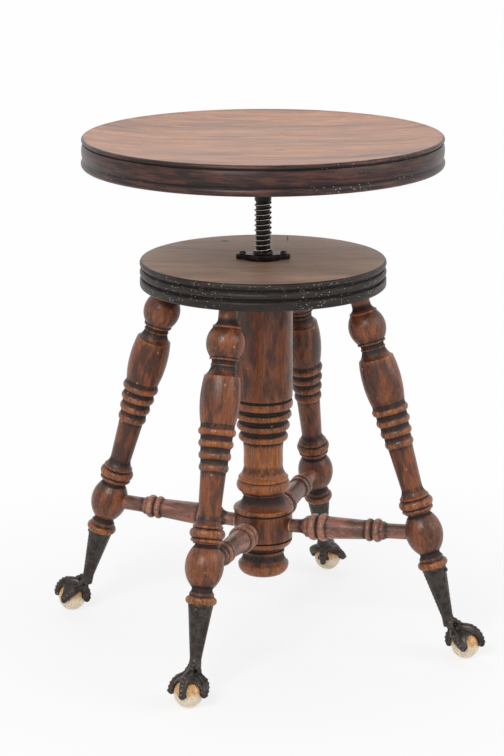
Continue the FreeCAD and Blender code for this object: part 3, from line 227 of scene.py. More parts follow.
def column_outline():
    """The centre column from its foot up, bored from the top for the lead screw."""
    line = Outline()
    line.draw(
        """step 37.0, swell 11.4 51.4 2.6, swell 11.6 41.8 -1.6,
        step 43.4, run 2.6 43.4, step 41.0, run 1.8 41.0, step 44.8, run 1.6 44.8,
        swell 8.0 59.4 1.7, step 55.0, run 1.7 55.0, step 59.4, run 26.6 59.4,
        step 57.2, run 1.4 57.2, bead 5.0 58.4 61.2, step 56.2, swell 10.6 40.6 -1.5,
        run 3.2 40.6, step 44.4, run 2.2 44.4, bead 12.6 48.4 54.6,
        step 51.0, run 2.4 51.0, swell 15.6 40.2 -2.2, swell 23.4 41.6 -0.5"""
    )
    for number in range(3):
        core = 45.8 + 3.2 * number
        line.step(core)
        line.bead(7.2, core, 50.4 + 3.6 * number)
        line.run(4.4, core)
    line.draw("step 58.6, bead 7.4 58.6 60.2, step 55.0, run 2.8 55.0, step 59.4")
    line.run_to(PLATFORM_UNDERSIDE - COLUMN_FOOT, 59.4)
    line.step(BORE)
    line.run_to(PLATFORM_UNDERSIDE - COLUMN_FOOT - BORE_DEPTH, BORE)
    line.to_axis()
    return line


# The length of the leg's beads and necks above its plain shaft.

LEG_ABOVE_SHAFT = 4 * 11.6 + 46.2 + 9.4 + 1.5 + 4.2 + 2.0 + 29.0 + 1.9 + 5.0 + 15.0


def leg_outline():
    """From the shoulder on the ferrule up to the neck inside the platform."""
    line = Outline()
    line.draw(
        """step 24.6, bead 8.0 24.2 30.4, run 3.0 24.2, swell 5.0 20.4 -0.83,
        bead 40.6 22.4 37.6, run 1.6 22.4, step 26.6, run 1.8 26.6,
        step 29.4, bead 3.6 29.4 31.8, bead 9.4 29.4 34.6, step 27.6, run 0.6 27.6,
        step 29.6, run 1.9 29.6, swell 10.4 21.6 -1.3"""
    )
    line.run_to(LEG_LENGTH - LEG_ABOVE_SHAFT, 24.9)
    core = 24.9
    for number in range(4):
        line.bead(7.4, core + 2.1, 29.0 + 2.6 * number)
        core += 2.1
        line.run(4.2, core)
    line.draw(
        """step 34.0, bead 46.2 34.6 39.0, step 33.0, swell 9.4 23.4 -0.8,
        step 25.0, run 1.5 25.0, step 23.4, run 4.2 23.4, step 28.4, run 2.0 28.4,
        step 26.8, bead 29.0 26.8 37.4, step 27.6, run 1.9 27.6, swell 5.0 18.8 -0.8"""
    )
    line.run_to(LEG_LENGTH + 6.0, 18.8)
    line.to_axis()
    return line


# Where the stretchers run: their height on the column's axis, the gap at the axis, how
# far they end short of the middle of the leg's low ball, that ball's height above the
# leg's shoulder, and the column's side.

STRETCHER_HEIGHT = 117.4
STRETCHER_START = 11.9
STRETCHER_SHORT = 6.0
LOW_BALL = 8.0 + 3.0 + 5.0 + 20.3
COLUMN_SIDE = 29.6


def stretcher_outline(length):
    """From inside the column out to inside the leg's low ball."""
    line = Outline()
    line.draw(
        """step 13.8, run 28.0 13.8, swell 7.4 21.8 -0.9, run 3.2 21.8,
        bead 8.8 22.4 27.6, run 1.6 22.4, bead 8.6 22.4 28.4, step 23.0, run 41.4 19.2,
        bead 6.2 19.8 23.5, run 1.6 19.8, bead 7.4 19.8 24.0, step 18.8, run 3.0 18.8,
        swell 4.4 15.3 -0.5"""
    )
    line.run_to(length, 15.3)
    line.to_axis()
    return line


# Small tools that the operators share.


def deselect():
    if bpy.context.object and bpy.context.object.mode != "OBJECT":
        bpy.ops.object.mode_set(mode="OBJECT")
    bpy.ops.object.select_all(action="DESELECT")


def choose(piece):
    deselect()
    piece.select_set(True)
    bpy.context.view_layer.objects.active = piece


def named(name):
    piece = bpy.context.object
    piece.name = name
    piece.data.name = name
    return piece


def finish_mesh(piece, matrix, angle=38):
    """Put the place in the mesh, point its faces outwards and shade it."""
    choose(piece)
    bpy.ops.object.transform_apply(location=True, rotation=True, scale=True)
    piece.data.transform(matrix)
    bpy.ops.object.mode_set(mode="EDIT")
    bpy.ops.mesh.select_all(action="SELECT")
    bpy.ops.mesh.remove_doubles(threshold=1e-6)
    bpy.ops.mesh.normals_make_consistent(inside=False)
    bpy.ops.object.mode_set(mode="OBJECT")
    bpy.ops.object.shade_smooth_by_angle(angle=math.radians(angle))
    deselect()


def traced(name, spots):
    """A line drawn point by point in the XZ plane, left selected in edit mode."""
    deselect()
    bpy.ops.mesh.primitive_plane_add(size=MM, location=(0, 0, 0))
    piece = named(name)
    bpy.ops.object.mode_set(mode="EDIT")
    bpy.ops.mesh.merge(type="CENTER")
    bpy.ops.transform.translate(value=(spots[0].x, 0, spots[0].y))
    for before, here in zip(spots, spots[1:]):
        step = (here.x - before.x, 0, here.y - before.y)
        bpy.ops.mesh.extrude_vertices_move(TRANSFORM_OT_translate={"value": step})
    bpy.ops.mesh.select_all(action="SELECT")
    return piece


def lathe(name, line, steps, softness):
    """Spin a softened outline about its axis."""
    worn = [spot * MM for spot in line.softened(softness)]
    piece = traced(name, worn)
    bpy.ops.mesh.spin(
        steps=steps, angle=math.tau, center=(0, 0, 0), axis=(0, 0, 1), dupli=False
    )
    bpy.ops.mesh.select_all(action="SELECT")
    bpy.ops.mesh.remove_doubles(threshold=2e-6)
    bpy.ops.mesh.normals_make_consistent(inside=False)
    bpy.ops.object.mode_set(mode="OBJECT")
    mark_crests(piece, worn)
    return piece


def spots_of(mesh):
    spots = np.zeros(len(mesh.vertices) * 3)
    mesh.vertices.foreach_get("co", spots)
    return spots.reshape(-1, 3)


# A crest is measured against the outline's mean radius within CREST_REACH, it is full
# at CREST_HEIGHT, and points nearer the axis than CREST_FREE have none, in metres.

CREST_REACH = 0.0045
CREST_HEIGHT = 0.0016
CREST_FREE = 0.005
SPOTS_AT_ONCE = 4000


def mark_crests(piece, worn):
    """Keep how far each point stands above or below the outline round it."""
    heights = [0.0]
    for before, here in zip(worn, worn[1:]):
        heights.append(heights[-1] + (here - before).length)
    along = np.array(heights)
    drawn = np.array([(spot.x, spot.y) for spot in worn])
    radii = drawn[:, 0]
    dense = np.linspace(0, along[-1], max(len(worn) * 4, 8))
    dense_radii = np.interp(dense, along, radii)
    gaps = along[:, None] - dense[None, :]
    window = np.exp(-(gaps**2) / (2 * CREST_REACH**2))
    around = (window @ dense_radii) / window.sum(1)
    crests = np.clip((radii - around) / CREST_HEIGHT, -1, 1)
    crests[radii < CREST_FREE] = 0
    spots = spots_of(piece.data)
    flat = np.column_stack([np.hypot(spots[:, 0], spots[:, 1]), spots[:, 2]])
    nearest = np.empty(len(flat), int)
    for first in range(0, len(flat), SPOTS_AT_ONCE):
        part = flat[first : first + SPOTS_AT_ONCE]
        gaps = ((part[:, None, :] - drawn[None, :, :]) ** 2).sum(2)
        nearest[first : first + SPOTS_AT_ONCE] = gaps.argmin(1)
    crest = piece.data.attributes.new("crest", "FLOAT", "POINT")
    crest.data.foreach_set("value", crests[nearest])


def mark_places(piece, shift):
    """Keep each point's place on the piece before it is moved, for its grain."""
    mesh = piece.data
    spots = spots_of(mesh) + np.array(shift)
    if "turned" in mesh.attributes:
        mesh.attributes.remove(mesh.attributes["turned"])
    turned = mesh.attributes.new("turned", "FLOAT_VECTOR", "POINT")
    turned.data.foreach_set("vector", spots.ravel())


def copy_of(piece, name):
    """A copy with its own mesh."""
    choose(piece)
    bpy.ops.object.duplicate()
    return named(name)


def dress(piece, *materials):
    piece.data.materials.clear()
    for material in materials:
        piece.data.materials.append(material)


def apply_modifier(piece, kind, **settings):
    choose(piece)
    bpy.ops.object.modifier_add(type=kind)
    made = piece.modifiers[-1]
    for name, value in settings.items():
        setattr(made, name, value)
    bpy.ops.object.modifier_apply(modifier=made.name)


def one_skin(piece, voxel):
    """One skin over a piece's parts, with its edges softened."""
    apply_modifier(piece, "REMESH", mode="VOXEL", voxel_size=voxel)
    apply_modifier(piece, "SMOOTH", factor=0.5, iterations=3)


def smooth(piece):
    choose(piece)
    bpy.ops.object.shade_smooth()
    deselect()


def radial_place(corner, out, up, tilt):
    """Matrix that tilts a piece in the radial plane of a leg and moves it out there."""
    spin = Matrix.Rotation(math.radians(corner), 4, "Z")
    lean = Matrix.Rotation(math.radians(tilt), 4, "Y")
    return spin @ Matrix.Translation((out * MM, 0, up * MM)) @ lean


def linear(colour):
    """Scene-linear values of a colour written as it looks."""
    values = [
        part / 12.92 if part <= 0.04045 else ((part + 0.055) / 1.055) ** 2.4
        for part in tuple(colour)[:3]
    ]
    return (*values, 1.0)


# Node tools.


def feed(tree, node, inputs):
    """Link or set a node's inputs, each found by its name or number."""
    for name, value in inputs.items():
        if isinstance(value, bpy.types.NodeSocket):
            tree.links.new(value, node.inputs[name])
        else:
            node.inputs[name].default_value = value


def add_node(tree, kind, inputs=None, **settings):
    """A new shader node's outputs."""
    made = tree.nodes.new("ShaderNode" + kind)
    for name, value in settings.items():
        setattr(made, name, value)
    feed(tree, made, inputs or {})
    return made.outputs


def mixed(tree, share, first, second):
    """Mix of two sockets or of colours written as they look."""
    first, second = (
        value if isinstance(value, bpy.types.NodeSocket) else linear(value)
        for value in (first, second)
    )
    return add_node(tree, "Mix", {0: share, 6: first, 7: second}, data_type="RGBA")[2]


def sums(tree, operation, first, second=0.0, third=0.0):
    inputs = {0: first, 1: second, 2: third}
    return add_node(tree, "Math", inputs, operation=operation)[0]


def times(tree, first, second):
    return sums(tree, "MULTIPLY", first, second)


def blend(tree, first, factor, second):
    """First times factor, plus second."""
    return sums(tree, "MULTIPLY_ADD", first, factor, second)


def ramped(tree, value, low, high, bottom=0.0, top=1.0):
    """Smooth step of a value between two limits."""
    inputs = {"From Min": low, "From Max": high, "To Min": bottom, "To Max": top}
    inputs["Value"] = value
    made = add_node(tree, "MapRange", inputs, interpolation_type="SMOOTHSTEP")
    return made["Result"]


def stretched(tree, place, scale):
    """A place multiplied part by part."""
    return add_node(tree, "VectorMath", {0: place, 1: scale}, operation="MULTIPLY")[0]


def distance(tree, place):
    """How far a place is from the origin."""
    return add_node(tree, "VectorMath", {0: place}, operation="LENGTH")["Value"]


def away_from(tree, value, middle):
    return sums(tree, "ABSOLUTE", sums(tree, "SUBTRACT", value, middle))


def looked_at(tree):
    """One where the ray comes from the camera, a gloss or a clear piece."""
    paths = add_node(tree, "LightPath")
    seen = sums(tree, "MAXIMUM", paths["Is Camera Ray"], paths["Is Glossy Ray"])
    return sums(tree, "MAXIMUM", seen, paths["Is Transmission Ray"])


def clouds(tree, place, scale, detail, roughness, distortion=0.0):
    inputs = {"Vector": place, "Scale": scale, "Detail": detail}
    inputs.update({"Roughness": roughness, "Distortion": distortion})
    return add_node(tree, "TexNoise", inputs)["Fac"]


def new_group(name, inputs, outputs):
    tree = bpy.data.node_groups.new(name, "ShaderNodeTree")
    for side, sockets in (("INPUT", inputs), ("OUTPUT", outputs)):
        for label, kind in sockets.items():
            tree.interface.new_socket(name=label, in_out=side, socket_type=kind)
    start = tree.nodes.new("NodeGroupInput")
    end = tree.nodes.new("NodeGroupOutput")
    return tree, start.outputs, end


def use_group(tree, name, inputs):
    return add_node(tree, "Group", inputs, node_tree=shared(name))


FLOAT = "NodeSocketFloat"
VECTOR = "NodeSocketVector"


def grain_group():
    """Streaks, pores and slow changes of tone that run along the Z of a place."""
    names = ("Streaks", "Pores", "Tone", "Blotches")
    tree, given, end = new_group(
        "Wood grain", {"Place": VECTOR}, dict.fromkeys(names, FLOAT)
    )
    place = given["Place"]
    streaks = clouds(tree, stretched(tree, place, (1, 1, 0.09)), 620, 3.0, 0.6)
    pores = clouds(tree, stretched(tree, place, (1, 1, 0.16)), 1500, 2.0, 0.5)
    tone = clouds(tree, stretched(tree, place, (1, 1, 0.3)), 75, 3.0, 0.6, 0.6)
    blotches = clouds(tree, stretched(tree, place, (1, 1, 0.22)), 420, 4.0, 0.7, 0.3)
    results = {
        "Streaks": ramped(tree, streaks, 0.35, 0.65),
        "Pores": ramped(tree, pores, 0.56, 0.7),
        "Tone": ramped(tree, tone, 0.36, 0.64),
        "Blotches": ramped(tree, blotches, 0.4, 0.66),
    }
    feed(tree, end, results)
    return tree


def wear_group():
    """Where handling has rubbed the crests and where dirt lies in the hollows."""
    tree, given, end = new_group(
        "Edge wear",
        {"Place": VECTOR, "Crest": FLOAT},
        {"Rubbed": FLOAT, "Grime": FLOAT},
    )
    rough = clouds(tree, stretched(tree, given["Place"], (1, 1, 0.5)), 420, 4.0, 0.7)
    shifted = blend(tree, rough, 1.3, -0.65)
    rubbed = sums(tree, "ADD", given["Crest"], shifted)
    grime = blend(tree, shifted, 0.5, times(tree, given["Crest"], -1.0))
    results = {
        "Rubbed": ramped(tree, rubbed, -0.05, 0.75),
        "Grime": ramped(tree, grime, 0.1, 0.5),
    }
    feed(tree, end, results)
    return tree


def specks_group():
    """Sparse small flecks, such as dust and chips of old finish."""
    tree, given, end = new_group(
        "Specks", {"Place": VECTOR, "Size": FLOAT, "Share": FLOAT}, {"Specks": FLOAT}
    )
    inputs = {"Vector": given["Place"], "Scale": given["Size"], "Randomness": 1.0}
    cells = add_node(tree, "TexVoronoi", inputs)
    lot = add_node(tree, "SeparateColor", {"Color": cells["Color"]})["Red"]
    chosen = sums(tree, "LESS_THAN", lot, given["Share"])
    near = ramped(tree, cells["Distance"], 0.4, 0.16)
    feed(tree, end, {"Specks": times(tree, chosen, near)})
    return tree


GROUPS = {}


def shared(name):
    """A node group, made when it is first asked for."""
    makers = {"grain": grain_group, "wear": wear_group, "specks": specks_group}
    if name not in GROUPS:
        GROUPS[name] = makers[name]()
    return GROUPS[name]


def new_material(name):
    material = bpy.data.materials.new(name)
    material.use_nodes = True
    tree = material.node_tree
    return material, tree, tree.nodes["Principled BSDF"]


def attribute(tree, name, output):
    return add_node(tree, "Attribute", attribute_name=name)[output]


def own_place(tree):
    return add_node(tree, "TexCoord")["Object"]


def height_of(tree, place):
    return add_node(tree, "SeparateXYZ", {"Vector": place})["Z"]


def bumped(tree, height, depth, strength):
    inputs = {"Height": height, "Distance": depth, "Strength": strength}
    return add_node(tree, "Bump", inputs)["Normal"]


def turned_wood(name, look, tone_shift=0.0, glue=None, waist=None):
    """Old stained wood, rubbed orange on its crests and dark in its hollows.

    glue is the height of a line of dried glue, waist that of a paler stretch.
    """
    material, tree, shader = new_material(name)
    place = attribute(tree, "turned", "Vector")
    crest = attribute(tree, "crest", "Fac")
    grain = use_group(tree, "grain", {"Place": place})
    wear = use_group(tree, "wear", {"Place": place, "Crest": crest})
    slow = clouds(tree, stretched(tree, place, (1, 1, 0.6)), 26, 2.0, 0.5)
    toned = blend(tree, slow, 1.5, tone_shift - 0.75)
    toned = sums(tree, "ADD", toned, grain["Tone"])
    colour = mixed(tree, ramped(tree, toned, 0.1, 1.1), look.stain, look.warm)
    along = height_of(tree, place)
    if waist is not None:
        pale = ramped(tree, away_from(tree, along, waist), 0.034, 0.012, 0, 0.7)
        colour = mixed(tree, pale, colour, look.rubbed)
    streaked = times(tree, grain["Streaks"], 0.55)
    colour = mixed(tree, streaked, colour, look.stain)
    glow = blend(tree, grain["Blotches"], 0.6, 0.25)
    glow = times(tree, wear["Rubbed"], glow)
    colour = mixed(tree, times(tree, glow, look.wear), colour, look.rubbed)
    pores = times(tree, grain["Pores"], 0.6)
    colour = mixed(tree, pores, colour, look.hollow)
    grime = times(tree, wear["Grime"], 0.9)
    colour = mixed(tree, grime, colour, look.hollow)
    nicks = use_group(tree, "specks", {"Place": place, "Size": 260.0, "Share": 0.012})
    nicks = times(tree, nicks["Specks"], 0.55)
    colour = mixed(tree, nicks, colour, look.nick)
    if glue is not None:
        ragged = clouds(tree, place, 300, 2.0, 0.5)
        away = blend(tree, ragged, 0.0022, away_from(tree, along, glue))
        cream = ramped(tree, away, 0.0020, 0.0014)
        colour = mixed(tree, cream, colour, look.nick)
    rough = blend(tree, grain["Blotches"], 0.14, 0.24)
    rough = blend(tree, wear["Grime"], 0.4, rough)
    height = blend(tree, grain["Streaks"], -0.5, 0.5)
    height = blend(tree, grain["Pores"], -0.5, height)
    finish = {
        "Base Color": colour,
        "Roughness": rough,
        "Specular IOR Level": 0.4,
        "Normal": bumped(tree, height, 0.00022, 0.6),
    }
    feed(tree, shader, finish)
    return material


def dent(tree, place, mark):
    """One small dark or pale mark at its own place on a disc."""
    inputs = {
        "Vector": place,
        "Location": (mark["x"] * MM, mark["y"] * MM, 0),
        "Rotation": (0, 0, math.radians(mark["turn"])),
        "Scale": (mark["long"] * MM, mark["wide"] * MM, 1),
    }
    moved = add_node(tree, "Mapping", inputs, vector_type="TEXTURE")["Vector"]
    away = distance(tree, stretched(tree, moved, (1, 1, 0)))
    ragged = clouds(tree, place, 700, 3.0, 0.6)
    return ramped(tree, blend(tree, ragged, 0.8, away), 1.6, 1.35)


def disc_wood(name, look, rim_radius, rim_width, marks):
    """Seat or platform wood: a worn top and a dark rim, grain along the turned X."""
    material, tree, shader = new_material(name)
    place = own_place(tree)
    inputs = {"Vector": place, "Rotation": (0, 0, math.radians(-NUT_PLATE_TURN))}
    grain = add_node(tree, "Mapping", inputs)["Vector"]
    crest = attribute(tree, "crest", "Fac")
    wear = use_group(tree, "wear", {"Place": place, "Crest": crest})
    bands = clouds(tree, stretched(tree, grain, (0.12, 1, 1)), 42, 4.0, 0.55, 0.5)
    fine = clouds(tree, stretched(tree, grain, (0.035, 1, 1)), 900, 3.0, 0.6)
    pores = clouds(tree, stretched(tree, grain, (0.1, 1, 1)), 1700, 2.0, 0.5)
    blotch = clouds(tree, stretched(tree, grain, (0.25, 1, 1)), 55, 5.0, 0.65, 0.3)
    top = mixed(tree, ramped(tree, bands, 0.3, 0.62), look.top_dark, look.top)
    top = mixed(tree, ramped(tree, blotch, 0.42, 0.68, 0, 0.7), top, look.top_pale)
    top = mixed(tree, ramped(tree, fine, 0.45, 0.7, 0, 0.6), top, look.top_dark)
    top = mixed(tree, ramped(tree, pores, 0.56, 0.7, 0, 0.4), top, look.rim)
    radius = distance(tree, stretched(tree, place, (1, 1, 0)))
    ragged = clouds(tree, place, 90, 4.0, 0.6)
    edge = blend(tree, ragged, rim_width, radius)
    inner, outer = (rim_radius + rim_width * share for share in (0.3, 0.8))
    rim_share = ramped(tree, edge, inner, outer)
    streaks = clouds(tree, stretched(tree, place, (0.1, 0.1, 1)), 300, 4.0, 0.65)
    rim = mixed(tree, ramped(tree, streaks, 0.4, 0.66), look.rim, look.rim_warm)
    rim = mixed(tree, times(tree, wear["Grime"], 0.9), rim, look.hollow)
    sunk = sums(tree, "MAXIMUM", rim_share, wear["Grime"])
    colour = mixed(tree, sunk, top, rim)
    specks = use_group(tree, "specks", {"Place": place, "Size": 700.0, "Share": 0.12})
    dusty = ramped(tree, clouds(tree, place, 9, 2.0, 0.5), 0.42, 0.6)
    lines = ramped(tree, sums(tree, "ABSOLUTE", crest), 0.15, 0.45)
    flecks = times(tree, specks["Specks"], times(tree, dusty, lines))
    colour = mixed(tree, flecks, colour, look.fleck)
    for mark in marks:
        colour = mixed(tree, dent(tree, place, mark), colour, mark["colour"])
    top_rough = blend(tree, blotch, 0.3, look.top_roughness - 0.15)
    inputs = {0: rim_share, 2: top_rough, 3: look.rim_roughness}
    height = blend(tree, fine, -0.6, ragged)
    finish = {
        "Base Color": colour,
        "Roughness": add_node(tree, "Mix", inputs)[0],
        "Specular IOR Level": 0.25,
        "Normal": bumped(tree, height, 0.0002, 0.5),
    }
    feed(tree, shader, finish)
    return material


def iron(name, look, base, roughness, glints):
    """Dark cast or cut metal with painted glints on its crests."""
    material, tree, shader = new_material(name)
    place = own_place(tree)
    crest = attribute(tree, "crest", "Fac")
    cast = clouds(tree, place, 700, 4.0, 0.6)
    stain = clouds(tree, place, 160, 3.0, 0.6)
    colour = mixed(tree, ramped(tree, stain, 0.4, 0.65), base, look.rust)
    # Painted glints: the crests and a fine noise are mixed towards the bright colour to
    # stand in for highlights.
    bright = ramped(tree, blend(tree, cast, 0.5, crest), 0.5, 0.9)
    colour = mixed(tree, times(tree, bright, glints), colour, look.bright)
    finish = {
        "Base Color": colour,
        "Metallic": 0.75,
        "Roughness": blend(tree, stain, 0.3, roughness - 0.15),
        "Normal": bumped(tree, cast, 0.00025, 0.7),
    }
    feed(tree, shader, finish)
    return material


def old_glass(name, look):
    """Old glass painted milky white for the backdrop seen through it, and painted amber
    near the top and in streaks for the rusty claw seen in it.
    """
    material, tree, shader = new_material(name)
    place = attribute(tree, "turned", "Vector")
    veins = clouds(tree, stretched(tree, place, (1, 1, 0.5)), 260, 4.0, 0.65, 1.2)
    high = ramped(tree, height_of(tree, place), -0.004, 0.010)
    amber = blend(tree, high, 0.5, veins)
    # Painted reflection: milky white for the backdrop seen through the clear glass,
    # amber for the rusty claw seen in it.
    colour = mixed(tree, ramped(tree, amber, 0.52, 0.85), look.painted_backdrop, look.amber)
    brown = clouds(tree, place, 420, 4.0, 0.7, 0.8)
    patches = blend(tree, high, 0.6, 0.4)
    # Painted reflection of the rusty claw, in brown streaks that are strongest near the
    # top.
    rust_reflection = times(tree, ramped(tree, brown, 0.5, 0.66), patches)
    colour = mixed(tree, rust_reflection, colour, look.amber_dark)
    finish = {
        "Base Color": colour,
        "Roughness": blend(tree, veins, 0.2, 0.06),
        "IOR": 1.5,
        "Transmission Weight": 0.25,
        "Coat Weight": 0.4,
        "Coat Roughness": 0.08,
    }
    feed(tree, shader, finish)
    return material


def tint(name, description, default):
    """A colour that a user can change, written as it looks."""
    return bpy.props.FloatVectorProperty(
        name=name,
        description=description,
        default=default,
        subtype="COLOR_GAMMA",
        min=0,
        max=1,
    )


def portion(name, description, default):
    """A share between none and all that a user can change."""
    return bpy.props.FloatProperty(
        name=name,
        description=description,
        default=default,
        subtype="FACTOR",
        min=0,
        max=1,
    )


class TurnedLook(bpy.types.PropertyGroup):
    """Colours and make of the turned wood"""

    stain: tint("Stain", "Stain that covers most of the wood", (0.27, 0.145, 0.095))
    warm: tint("Warm wood", "Wood where the stain has thinned", (0.53, 0.29, 0.155))
    rubbed: tint("Rubbed wood", "Orange wood on the crests", (0.78, 0.47, 0.24))
    hollow: tint("Hollows", "Old varnish and dirt in the grooves", (0.05, 0.03, 0.022))
    nick: tint("Nicks", "Bare wood in small dents, and glue", (0.78, 0.60, 0.38))
    wear: portion("Wear", "How much bare wood shows on the crests", 0.62)
    facets: bpy.props.IntProperty(
        name="Facets",
        description="Facets round each turned piece",
        default=72,
        min=24,
        max=160,
    )
    softness: bpy.props.FloatProperty(
        name="Softness",
        description="How far each turned edge is worn, in millimetres",
        default=0.55,
        min=0.1,
        max=2,
    )


class DiscLook(bpy.types.PropertyGroup):
    """Colours and gloss of the seat or the platform"""

    top: tint("Top", "Worn wood of the top", (0.68, 0.465, 0.335))
    top_dark: tint("Dark grain", "Dark streaks of the top", (0.44, 0.285, 0.215))
    top_pale: tint("Pale grain", "Pale worn streaks of the top", (0.82, 0.60, 0.46))
    rim: tint("Rim", "Dark varnish of the rim", (0.16, 0.12, 0.115))
    rim_warm: tint("Warm rim", "Redder wood seen through the rim", (0.33, 0.205, 0.17))
    hollow: tint("Grooves", "Dirt in the grooves of the rim", (0.045, 0.032, 0.028))
    fleck: tint("Flecks", "Pale dust and chips by the grooves", (0.80, 0.76, 0.70))
    top_roughness: portion("Top roughness", "Roughness of the worn top", 0.42)
    rim_roughness: portion("Rim roughness", "Roughness of the varnished rim", 0.34)


class MetalLook(bpy.types.PropertyGroup):
    """Colours and make of the iron pieces"""

    black: tint("Black iron", "Oily iron of the screw and nut", (0.07, 0.065, 0.06))
    claw: tint("Claw metal", "Dark cast metal of the feet", (0.27, 0.245, 0.23))
    rust: tint("Brown stain", "Brown stain in the metal", (0.20, 0.165, 0.145))
    # Painted glints on the metal's crests, standing in for highlights.
    bright: tint("Bright crests", "Metal rubbed bright", (0.80, 0.79, 0.77))
    claw_roughness: portion("Claw roughness", "Roughness of the cast feet", 0.4)
    thread_pitch: bpy.props.FloatProperty(
        name="Thread pitch",
        description="Rise of the lead screw's thread in one turn",
        default=0.00508,
        unit="LENGTH",
        min=0.001,
        max=0.02,
    )


class GlassLook(bpy.types.PropertyGroup):
    """Colours of the glass balls"""

    # Painted reflections: the milky white stands for the backdrop seen through the
    # clear glass, and the amber and dark amber for the rusty claw seen in it.
    painted_backdrop: tint("Milk", "Clouded glass", (0.97, 0.91, 0.80))
    amber: tint("Amber", "Amber stain in the glass", (0.86, 0.64, 0.38))
    amber_dark: tint("Dark amber", "Brown streaks under the claws", (0.48, 0.29, 0.14))


class StageLook(bpy.types.PropertyGroup):
    """The floor's colour and the camera's place"""

    floor: tint("Floor", "Pale floor", (0.985, 0.985, 0.985))
    camera_place: bpy.props.FloatVectorProperty(
        name="Camera place",
        description="Where the camera stands",
        default=(-1.0436, -2.1801, 0.8991),
        subtype="TRANSLATION",
        unit="LENGTH",
    )
    camera_turn: bpy.props.FloatVectorProperty(
        name="Camera turn",
        description="Turn about the vertical, tilt up from straight down, and roll",
        default=(math.radians(-25.313), math.radians(75.4446), math.radians(-0.1256)),
        unit="ROTATION",
    )
    lens: bpy.props.FloatProperty(
        name="Lens",
        description="Focal length for a 36 mm wide picture",
        default=177.14,
        min=20,
        max=400,
    )


# Where the dark varnish of each rim begins and how far its edge wanders, in metres.

SEAT_RIM = (0.1762, 0.0030)
PLATFORM_RIM = (0.1206, 0.0025)

# Small marks of wear: place and size in millimetres, turn in degrees.

BLACK_PITCH = (0.06, 0.045, 0.04)
SEAT_MARKS = (
    dict(x=-7.2, y=-53.0, turn=-20, long=5.0, wide=1.7, colour=(0.30, 0.17, 0.12)),
    dict(x=52.0, y=20.0, turn=-25, long=16.0, wide=1.0, colour=(0.42, 0.26, 0.20)),
    dict(x=-152.0, y=-72.0, turn=-65, long=26.0, wide=3.2, colour=(0.72, 0.47, 0.29)),
)
PLATFORM_MARKS = (
    dict(x=2.4, y=95.6, turn=-20, long=4.0, wide=3.4, colour=BLACK_PITCH),
    dict(x=66.0, y=79.0, turn=64, long=13.0, wide=0.8, colour=BLACK_PITCH),
)


class STOOL_OT_seat(bpy.types.Operator):
    """Turn the dished seat with its beaded rim"""

    bl_idname = "stool.seat"
    bl_label = "Seat"

    def execute(self, context):
        scene = context.scene
        softness = scene.stool_turned.softness
        piece = lathe("seat_top", seat_outline(), 160, softness)
        finish_mesh(piece, Matrix.Translation((0, 0, SEAT_UNDERSIDE * MM)))
        look = scene.stool_seat
        dress(piece, disc_wood("Dished wood", look, *SEAT_RIM, SEAT_MARKS))
        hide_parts("seat")
        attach(piece, "seat")
        return {"FINISHED"}


class STOOL_OT_platform(bpy.types.Operator):
    """Turn the platform with its three-bead rim"""

    bl_idname = "stool.platform"
    bl_label = "Platform"

    def execute(self, context):
        scene = context.scene
        softness = scene.stool_turned.softness
        piece = lathe("platform_disc", platform_outline(), 144, softness)
        finish_mesh(piece, Matrix.Translation((0, 0, PLATFORM_UNDERSIDE * MM)))
        look = scene.stool_platform
        dress(piece, disc_wood("Platform wood", look, *PLATFORM_RIM, PLATFORM_MARKS))
        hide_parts("platform")
        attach(piece, "base")
        return {"FINISHED"}


class STOOL_OT_column(bpy.types.Operator):
    """Turn the centre column"""

    bl_idname = "stool.column"
    bl_label = "Column"

    def execute(self, context):
        look = context.scene.stool_turned
        piece = lathe("column_post", column_outline(), 96, look.softness)
        mark_places(piece, (0.11, 0.07, 0.0))
        finish_mesh(piece, Matrix.Translation((0, 0, COLUMN_FOOT * MM)))
        dress(piece, turned_wood("Column wood", look, 0.1, waist=119 * MM))
        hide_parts("column")
        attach(piece, "base")
        return {"FINISHED"}


class STOOL_OT_legs(bpy.types.Operator):
    """Turn one leg and copy it to the four corners"""

    bl_idname = "stool.legs"
    bl_label = "Legs"

    def execute(self, context):
        look = context.scene.stool_turned
        first = lathe("leg_turned", leg_outline(), look.facets, look.softness)
        wood = turned_wood("Leg wood", look)
        for number, (name, corner) in enumerate(CORNERS.items()):
            piece = copy_of(first, f"leg_{name}_turned")
            mark_places(piece, (0.31 * number, 0.17 + 0.2 * number, 0.4 * number))
            place = radial_place(corner, FERRULE_RADIUS, FERRULE_HEIGHT, -LEG_RAKE)
            finish_mesh(piece, place)
            dress(piece, wood)
            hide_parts(f"leg_{name}")
            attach(piece, "base")
        bpy.data.objects.remove(first)
        return {"FINISHED"}


